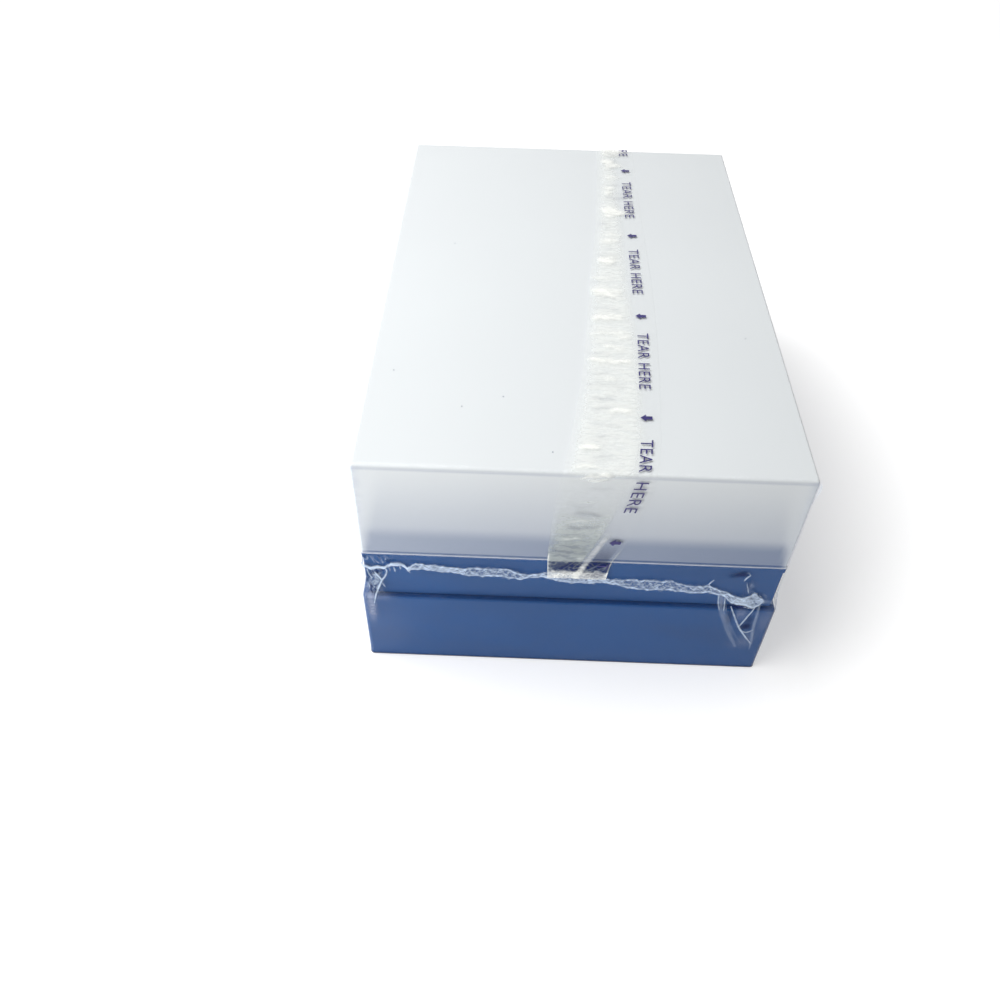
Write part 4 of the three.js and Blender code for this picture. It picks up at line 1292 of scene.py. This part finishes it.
def tape_skin():
    """The tape, from weld to weld, with close rows down the front and over both top edges. Its
    whiteness is painted glints on the ridges, a painted sheen on the wrinkled part on top and
    whitening of the walls, the fold, the edges and the crumpled ends; dull greys the slack part on
    the front, and painted shade deepens the wrinkles, the film behind the fold and where the tape
    lifts off the blue. Its ridges and crumples are raised.
    """
    skin = Skin(haze=0.0, dull=0.0, gloom=0.0)
    along = np.concatenate([np.linspace(-29.2, -20.1, 90), np.linspace(-20, -0.7, 110),
                            np.linspace(-0.6, 0.8, 12), np.linspace(1, 66, 240),
                            np.linspace(66.5, 127, 120), np.linspace(127.2, 128.6, 10),
                            np.linspace(129, 156, 90)])[:, None] * MM
    share = np.linspace(0, 1, 65)
    left, right = tape_line(along, TAPE_LEFT), tape_line(along, TAPE_RIGHT)
    across = left + (right - left) * share
    ridges, furrows = tape_wrinkles(along, across)

    # How far down either wall, and what the tape does there.
    down = np.maximum(-along, along - 2 * HALF_Y + 2 * FLANGE_INSET) / MM
    on_front = along < 0
    on_wall, depth = smooth_step(down, *ON_WALL), smooth_step(down, *SLACKENING)
    over_blue = smooth_step(down, *OVER_BLUE)

    # Crumples of the gathered end, and facets, which vary the painted shade, and creases over the
    # blue. The sums of 30 and 60 pick parts of the chance tables.
    x, y = across / MM, along / MM
    crumpled = np.maximum(creased(x / 0.8 + 30, y / 0.5 + 60, 61, 2.2),
                          creased(x / 0.4 + 30, y / 0.35 + 60, 62, 2.2))
    gathered = smooth_step(down + 0.5 * lattice_noise(x / 0.8 + 30, 0.5, 63), *GATHERED)
    facets = lattice_noise(0.7 * x + 0.35 * y + 30, 0.8 * y - 0.4 * x + 60, 64)
    creases = np.maximum(creased(1.0 * x + 0.9 * y + 60, 0.5 * x - 0.3 * y + 30, 65, 3.5),
                         creased(0.9 * x - 0.8 * y + 30, 0.4 * y + 60, 66, 3.5))

    # The wrinkled part, which starts a little inside the left edge and gets a painted sheen on top,
    # the slanted fold on the front with painted shade on the film behind it, and the edges, which
    # whiten at their ends.
    edge, fade = tape_line(along, WRINKLE_EDGE), (0.5 + 1.1 * (1 - on_wall)) * MM
    wrinkled = 1 - smooth_step(across, edge - fade, edge + fade)
    inward = smooth_step(across, left - 0.5 * MM, left + 3 * MM - 1.2 * MM * on_wall)
    inward = np.maximum(inward, smooth_step(down, 17, 22))
    from_fold = (across - tape_line(along, FOLD_ACROSS, FOLD_ALONG)) / MM
    fold = np.exp(-(from_fold / 0.7) ** 4) * smooth_step(down, 14, 18) * on_front
    behind = smooth_step(from_fold, 0.6, 1.0) * smooth_step(down, 18, 23) * on_front
    behind = behind * (1 - smooth_step(across, right - 1.2 * MM, right - 0.7 * MM))
    rim = bell(across, left, 0.22 * MM) * smooth_step(down, 21.5, 22.5)
    rim = rim + 0.7 * bell(across, right - 0.1 * MM, 0.16 * MM) * smooth_step(down, 19.5, 22)
    edges = bell(share, 0, 0.02) + bell(share, 1, 0.02)

    on_top = 0.48 * (1 - on_wall)
    on_sides = on_wall * (0.1 + 0.42 * depth) * (1 - 0.75 * over_blue)
    haze = 0.02 + wrinkled * inward * (on_top + on_sides) + 0.025 * edges + 0.75 * ridges
    haze = haze + 0.4 * fold + 0.8 * rim + gathered * (0.45 + 0.5 * crumpled)
    haze = haze + 0.35 * over_blue * creases * (1 - gathered)
    plain = (1 - fold) * (1 - rim)
    dull = on_wall * (0.25 + 0.75 * depth) * plain * (1 - gathered) * (1 - ridges)
    # Painted shade where the tape lifts off the blue, deeper in some facets.
    painted_lift_shade = over_blue * (1 - gathered) * (0.55 + 0.4 * smooth_step(facets, -0.2, 0.4))
    gloom = (0.6 * furrows + 0.28 * behind + painted_lift_shade) * plain * (1 - 0.7 * creases * over_blue)
    stand = TAPE_STAND + 0.1 * MM * ridges + 0.12 * MM * gathered * crumpled
    skin.grid(on_tape(along, across, stand), close_columns=False, haze=np.clip(haze, 0, 0.95),
              dull=np.clip(dull, 0, 1), gloom=np.clip(gloom, 0, 0.9))
    return skin


# The print: a capital's share of a letter's size, the spaces between letters and words, and the
# width of the slices that let a letter bend with the tape.
CAP_SHARE, LETTER_SPACE, WORD_SPACE = 0.69, 1.12, 1.1
SLICE = 0.3 * MM

# An arrow across the tape: its tip, neck and end, and half the width of its head and stem.
ARROW_TIP, ARROW_NECK, ARROW_END = -1.15 * MM, -0.05 * MM, 1.15 * MM
ARROW_HEAD, ARROW_STEM = 0.95 * MM, 0.45 * MM

# Along the tape: the first arrow, how far the arrows may go, the gap from an arrow to its words,
# and how far down the front a letter may be.
FIRST_ARROW, LAST_ARROW, WORD_GAP, LOWEST_LETTER = -17.9 * MM, 150 * MM, 6.1 * MM, -26.5 * MM
PRINT_STAND = TAPE_STAND + 0.06 * MM


def flat_words(wrap):
    """Points and triangles of the words, read along X with their feet on it, in narrow slices."""
    letters = bpy.data.curves.new("Tape words", "FONT")
    letters.body = wrap.words
    letters.size = wrap.cap_height / CAP_SHARE
    letters.space_character = LETTER_SPACE
    letters.space_word = WORD_SPACE
    flat = bpy.data.objects.new("Tape words", letters)
    bpy.context.scene.collection.objects.link(flat)
    bpy.context.view_layer.update()
    drawn = flat.evaluated_get(bpy.context.evaluated_depsgraph_get())
    mesh = bpy.data.meshes.new_from_object(drawn)
    bpy.data.objects.remove(flat)
    sheet = bmesh.new()
    sheet.from_mesh(mesh)
    bpy.data.meshes.remove(mesh)
    reach = max(vertex.co.x for vertex in sheet.verts)
    for cut in np.arange(SLICE, reach, SLICE):
        parts = list(sheet.verts) + list(sheet.edges) + list(sheet.faces)
        bmesh.ops.bisect_plane(sheet, geom=parts, plane_co=(cut, 0, 0), plane_no=(1, 0, 0))
    bmesh.ops.triangulate(sheet, faces=list(sheet.faces))
    sheet.verts.index_update()
    points = np.array([vertex.co[:2] for vertex in sheet.verts])
    faces = np.array([[vertex.index for vertex in face.verts] for face in sheet.faces])
    sheet.free()
    return points, faces


def flat_arrow():
    """Rows of points across an arrow: its head's width grows from the tip, and its stem's is
    even."""
    heights = np.concatenate([np.linspace(ARROW_TIP, ARROW_NECK, 4),
                              np.linspace(ARROW_NECK, ARROW_END, 4)])
    widths = np.concatenate([np.linspace(0, 1, 4) * ARROW_HEAD, np.full(4, ARROW_STEM)])
    return np.stack([np.stack([-widths, heights], -1), np.stack([widths, heights], -1)], axis=1)


def printed(start, mark):
    """Points of a flat mark laid on the tape: X runs back from a distance along the tape, and Y
    goes across it from the print's line."""
    along = start - mark[..., 0]
    line = tape_line(along, PRINT_ACROSS, PRINT_ALONG)
    return on_tape(along, line + mark[..., 1], PRINT_STAND)


def print_piece(wrap, material):
    """Arrows and words, repeated along the tape at the print's pitch. Letters that would come too
    far down the front are left out."""
    words, faces = flat_words(wrap)
    words, arrow = words - (0, wrap.cap_height / 2), flat_arrow()
    skin = Skin()
    for start in np.arange(FIRST_ARROW, LAST_ARROW, wrap.print_pitch):
        skin.grid(printed(start, arrow), close_columns=False)
        along = start - WORD_GAP - words[:, 0]
        shown = faces[(along[faces] > LOWEST_LETTER).all(axis=1)]
        skin.loose(printed(start - WORD_GAP, words), shown)
    return skin.build("tear_tape_print", material, "tape_film", None)


# ---- Studio --------------------------------------------------------------------------------------

CAMERA_PLACE = Vector((-13.522, -175.067, 169.12)) * MM
CAMERA_AZIMUTH, CAMERA_ELEVATION, CAMERA_ROLL = (math.radians(a) for a in (0.671, 46.635, 1.626))
SENSOR_WIDTH = 36                # millimetres, as a lens is given
NEAREST_SEEN = 0.01

# Lamps: side, place and target.
KEY_LAMP = (0.3, (-0.17, 0.0, 0.34), (0, 0, 0.03))
FRONT_LAMP = (0.16, (-0.25, -0.25, 0.09), (0, -0.06, 0.04))

# Half widths of the floor's middle square and of the whole floor.
FLOOR_SQUARES = (0.04, 2.0)


def aimed(place, azimuth, elevation, roll):
    """Placing matrix of a camera or lamp that looks back along its own +Z."""
    back = Vector((math.sin(azimuth) * math.cos(elevation),
                   -math.cos(azimuth) * math.cos(elevation), math.sin(elevation)))
    right = (-back).cross(Vector((0, 0, 1))).normalized()
    up = right.cross(-back)
    turned_right = right * math.cos(roll) + up * math.sin(roll)
    turned_up = up * math.cos(roll) - right * math.sin(roll)
    matrix = Matrix((turned_right, turned_up, back)).transposed().to_4x4()
    matrix.translation = place
    return matrix


def soft_lamp(name, power, size, place, target):
    """Square area lamp that faces a target."""
    lamp = bpy.data.lights.new(name, "AREA")
    lamp.shape = "SQUARE"
    lamp.size = size
    lamp.energy = power
    lamp_object = bpy.data.objects.new(name, lamp)
    turn = (Vector(place) - Vector(target)).to_track_quat("Z", "Y")
    lamp_object.matrix_world = Matrix.Translation(place) @ turn.to_matrix().to_4x4()
    bpy.context.scene.collection.objects.link(lamp_object)


def white_world(strength):
    """Even white surroundings: plain white to the camera, gloss and clear plastic, and a chosen
    strength where they light the box."""
    world = bpy.data.worlds.new("Studio")
    world.use_nodes = True
    nodes = Nodes(world.node_tree)
    seen = nodes.seen()
    glow = nodes.node("ShaderNodeBackground", {}, {
        "Color": opaque((1, 1, 1)), "Strength": seen + (1 - seen) * strength})
    nodes.node("ShaderNodeOutputWorld", {}, {"Surface": glow})
    bpy.context.scene.world = world


def floor_skin():
    """Flat square floor: a small square in the middle and a ring of four faces round it."""
    skin = Skin()
    square = np.array([(-1, -1), (1, -1), (1, 1), (-1, 1)])
    reach = np.array(FLOOR_SQUARES[::-1])[:, None]
    flat = np.stack([square[:, 0] * reach, square[:, 1] * reach, np.zeros((2, 4))], axis=-1)
    skin.grid(flat)
    skin.cap_last(4)
    return skin


# ---- Operators -----------------------------------------------------------------------------------


class TIPBOX_OT_studio(bpy.types.Operator):
    """Add the camera, the lamps and the pale floor"""

    bl_idname = "tip_box.studio"
    bl_label = "Studio"

    def execute(self, context):
        studio = context.scene.tip_box_studio
        camera_data = bpy.data.cameras.new("Camera")
        camera_data.lens = studio.lens
        camera_data.sensor_width = SENSOR_WIDTH
        camera_data.clip_start = NEAREST_SEEN
        camera = bpy.data.objects.new("Camera", camera_data)
        camera.matrix_world = aimed(CAMERA_PLACE, CAMERA_AZIMUTH, CAMERA_ELEVATION, CAMERA_ROLL)
        context.scene.collection.objects.link(camera)
        context.scene.camera = camera
        context.scene.view_settings.view_transform = "Standard"
        white_world(studio.ambient)
        soft_lamp("Key lamp", studio.key, *KEY_LAMP)
        soft_lamp("Front lamp", studio.front, *FRONT_LAMP)
        floor = floor_skin().mesh_object("studio_floor", studio_floor(studio))
        context.scene.collection.objects.link(floor)
        return {"FINISHED"}


class TIPBOX_OT_mouldings(bpy.types.Operator):
    """Add the base tray, the rack frame, the deck plate with its tips, and the lid"""

    bl_idname = "tip_box.mouldings"
    bl_label = "Mouldings"

    def execute(self, context):
        box = context.scene.tip_box_mouldings
        blue = satin_blue(box.blue)
        frosted = frosted_clear(box.frosted, box.blue)
        natural = natural_tip(box.natural)
        tray = tray_skin(box).build("base_tray_moulding", blue, "blue_plastic", ["base_tray"])
        rack = frame_skin(box).build("rack_frame_moulding", blue, "blue_plastic", ["rack_frame"])
        deck_skin(box).build("tip_deck_moulding", natural, "tip_plastic", ["tip_deck"])
        lid = lid_skin(box).build("lid_moulding", frosted, "frosted_plastic", ["lid"])
        for moulding in (tray, rack, lid):
            even_shading(moulding)
        return {"FINISHED"}


class TIPBOX_OT_film(bpy.types.Operator):
    """Add the two webs of shrink film, the weld between them and the folds at the corners"""

    bl_idname = "tip_box.film"
    bl_label = "Shrink film"

    def execute(self, context):
        wrap = context.scene.tip_box_wrap
        sheet = wrapping("Shrink film", wrap.veil_and_painted_glint, wrap.veil_and_painted_glint,
                         thin_haze=0.004, gloss=0.32, painted_glint_glow=0.0)
        fold = wrapping("Whitened film", wrap.haze, wrap.haze,
                        thin_haze=0.0, gloss=0.0, painted_glint_glow=0.1)
        upper_web().build("upper_film", sheet, "clear_film", ["film_upper"], SHEET_ANGLE)
        lower_web().build("lower_film", sheet, "clear_film", ["film_lower"], SHEET_ANGLE)
        weld_skin(wrap).build("film_weld", fold, "clear_film", None, FOLD_ANGLE)
        folds_skin().build("film_folds", fold, "clear_film", None, FOLD_ANGLE)
        ears_skin().build("film_ears", fold, "clear_film", None, FOLD_ANGLE)
        return {"FINISHED"}


class TIPBOX_OT_tape(bpy.types.Operator):
    """Add the tear tape and its print"""

    bl_idname = "tip_box.tape"
    bl_label = "Tear tape"

    def execute(self, context):
        wrap = context.scene.tip_box_wrap
        strip_film = wrapping("Tear tape film", wrap.tape, wrap.tape_dull,
                              thin_haze=0.0, gloss=0.5, painted_glint_glow=0.12)
        tape_skin().build("tear_tape_strip", strip_film, "tape_film", ["tear_tape"], FOLD_ANGLE)
        print_piece(wrap, tape_ink(wrap.ink))
        return {"FINISHED"}


class TIPBOX_PT_panel(bpy.types.Panel):
    """Lists the operators that add the box's pieces, each with its settings"""

    bl_idname = "TIPBOX_PT_panel"
    bl_label = "Tip Box"
    bl_space_type = "VIEW_3D"
    bl_region_type = "UI"
    bl_category = "Tip Box"

    def draw(self, context):
        scene = context.scene
        for operator, settings in ((TIPBOX_OT_studio, scene.tip_box_studio),
                                   (TIPBOX_OT_mouldings, scene.tip_box_mouldings),
                                   (TIPBOX_OT_film, scene.tip_box_wrap),
                                   (TIPBOX_OT_tape, None)):
            column = self.layout.column(align=True)
            column.operator(operator.bl_idname)
            for key in settings.__annotations__ if settings else ():
                column.prop(settings, key)


SETTINGS = {"tip_box_mouldings": TipBoxMouldings, "tip_box_wrap": TipBoxWrap,
            "tip_box_studio": TipBoxStudio}
OPERATORS = (TIPBOX_OT_studio, TIPBOX_OT_mouldings, TIPBOX_OT_film, TIPBOX_OT_tape)


def register():
    for key, group in SETTINGS.items():
        bpy.utils.register_class(group)
        setattr(bpy.types.Scene, key, PointerProperty(type=group))
    for entry in (*OPERATORS, TIPBOX_PT_panel):
        bpy.utils.register_class(entry)


def unregister():
    for entry in (TIPBOX_PT_panel, *reversed(OPERATORS)):
        bpy.utils.unregister_class(entry)
    for key, group in SETTINGS.items():
        delattr(bpy.types.Scene, key)
        bpy.utils.unregister_class(group)


def main():
    register()
    bpy.ops.tip_box.studio()
    bpy.ops.tip_box.mouldings()
    bpy.ops.tip_box.film()
    bpy.ops.tip_box.tape()


if __name__ == "__main__":
    main()
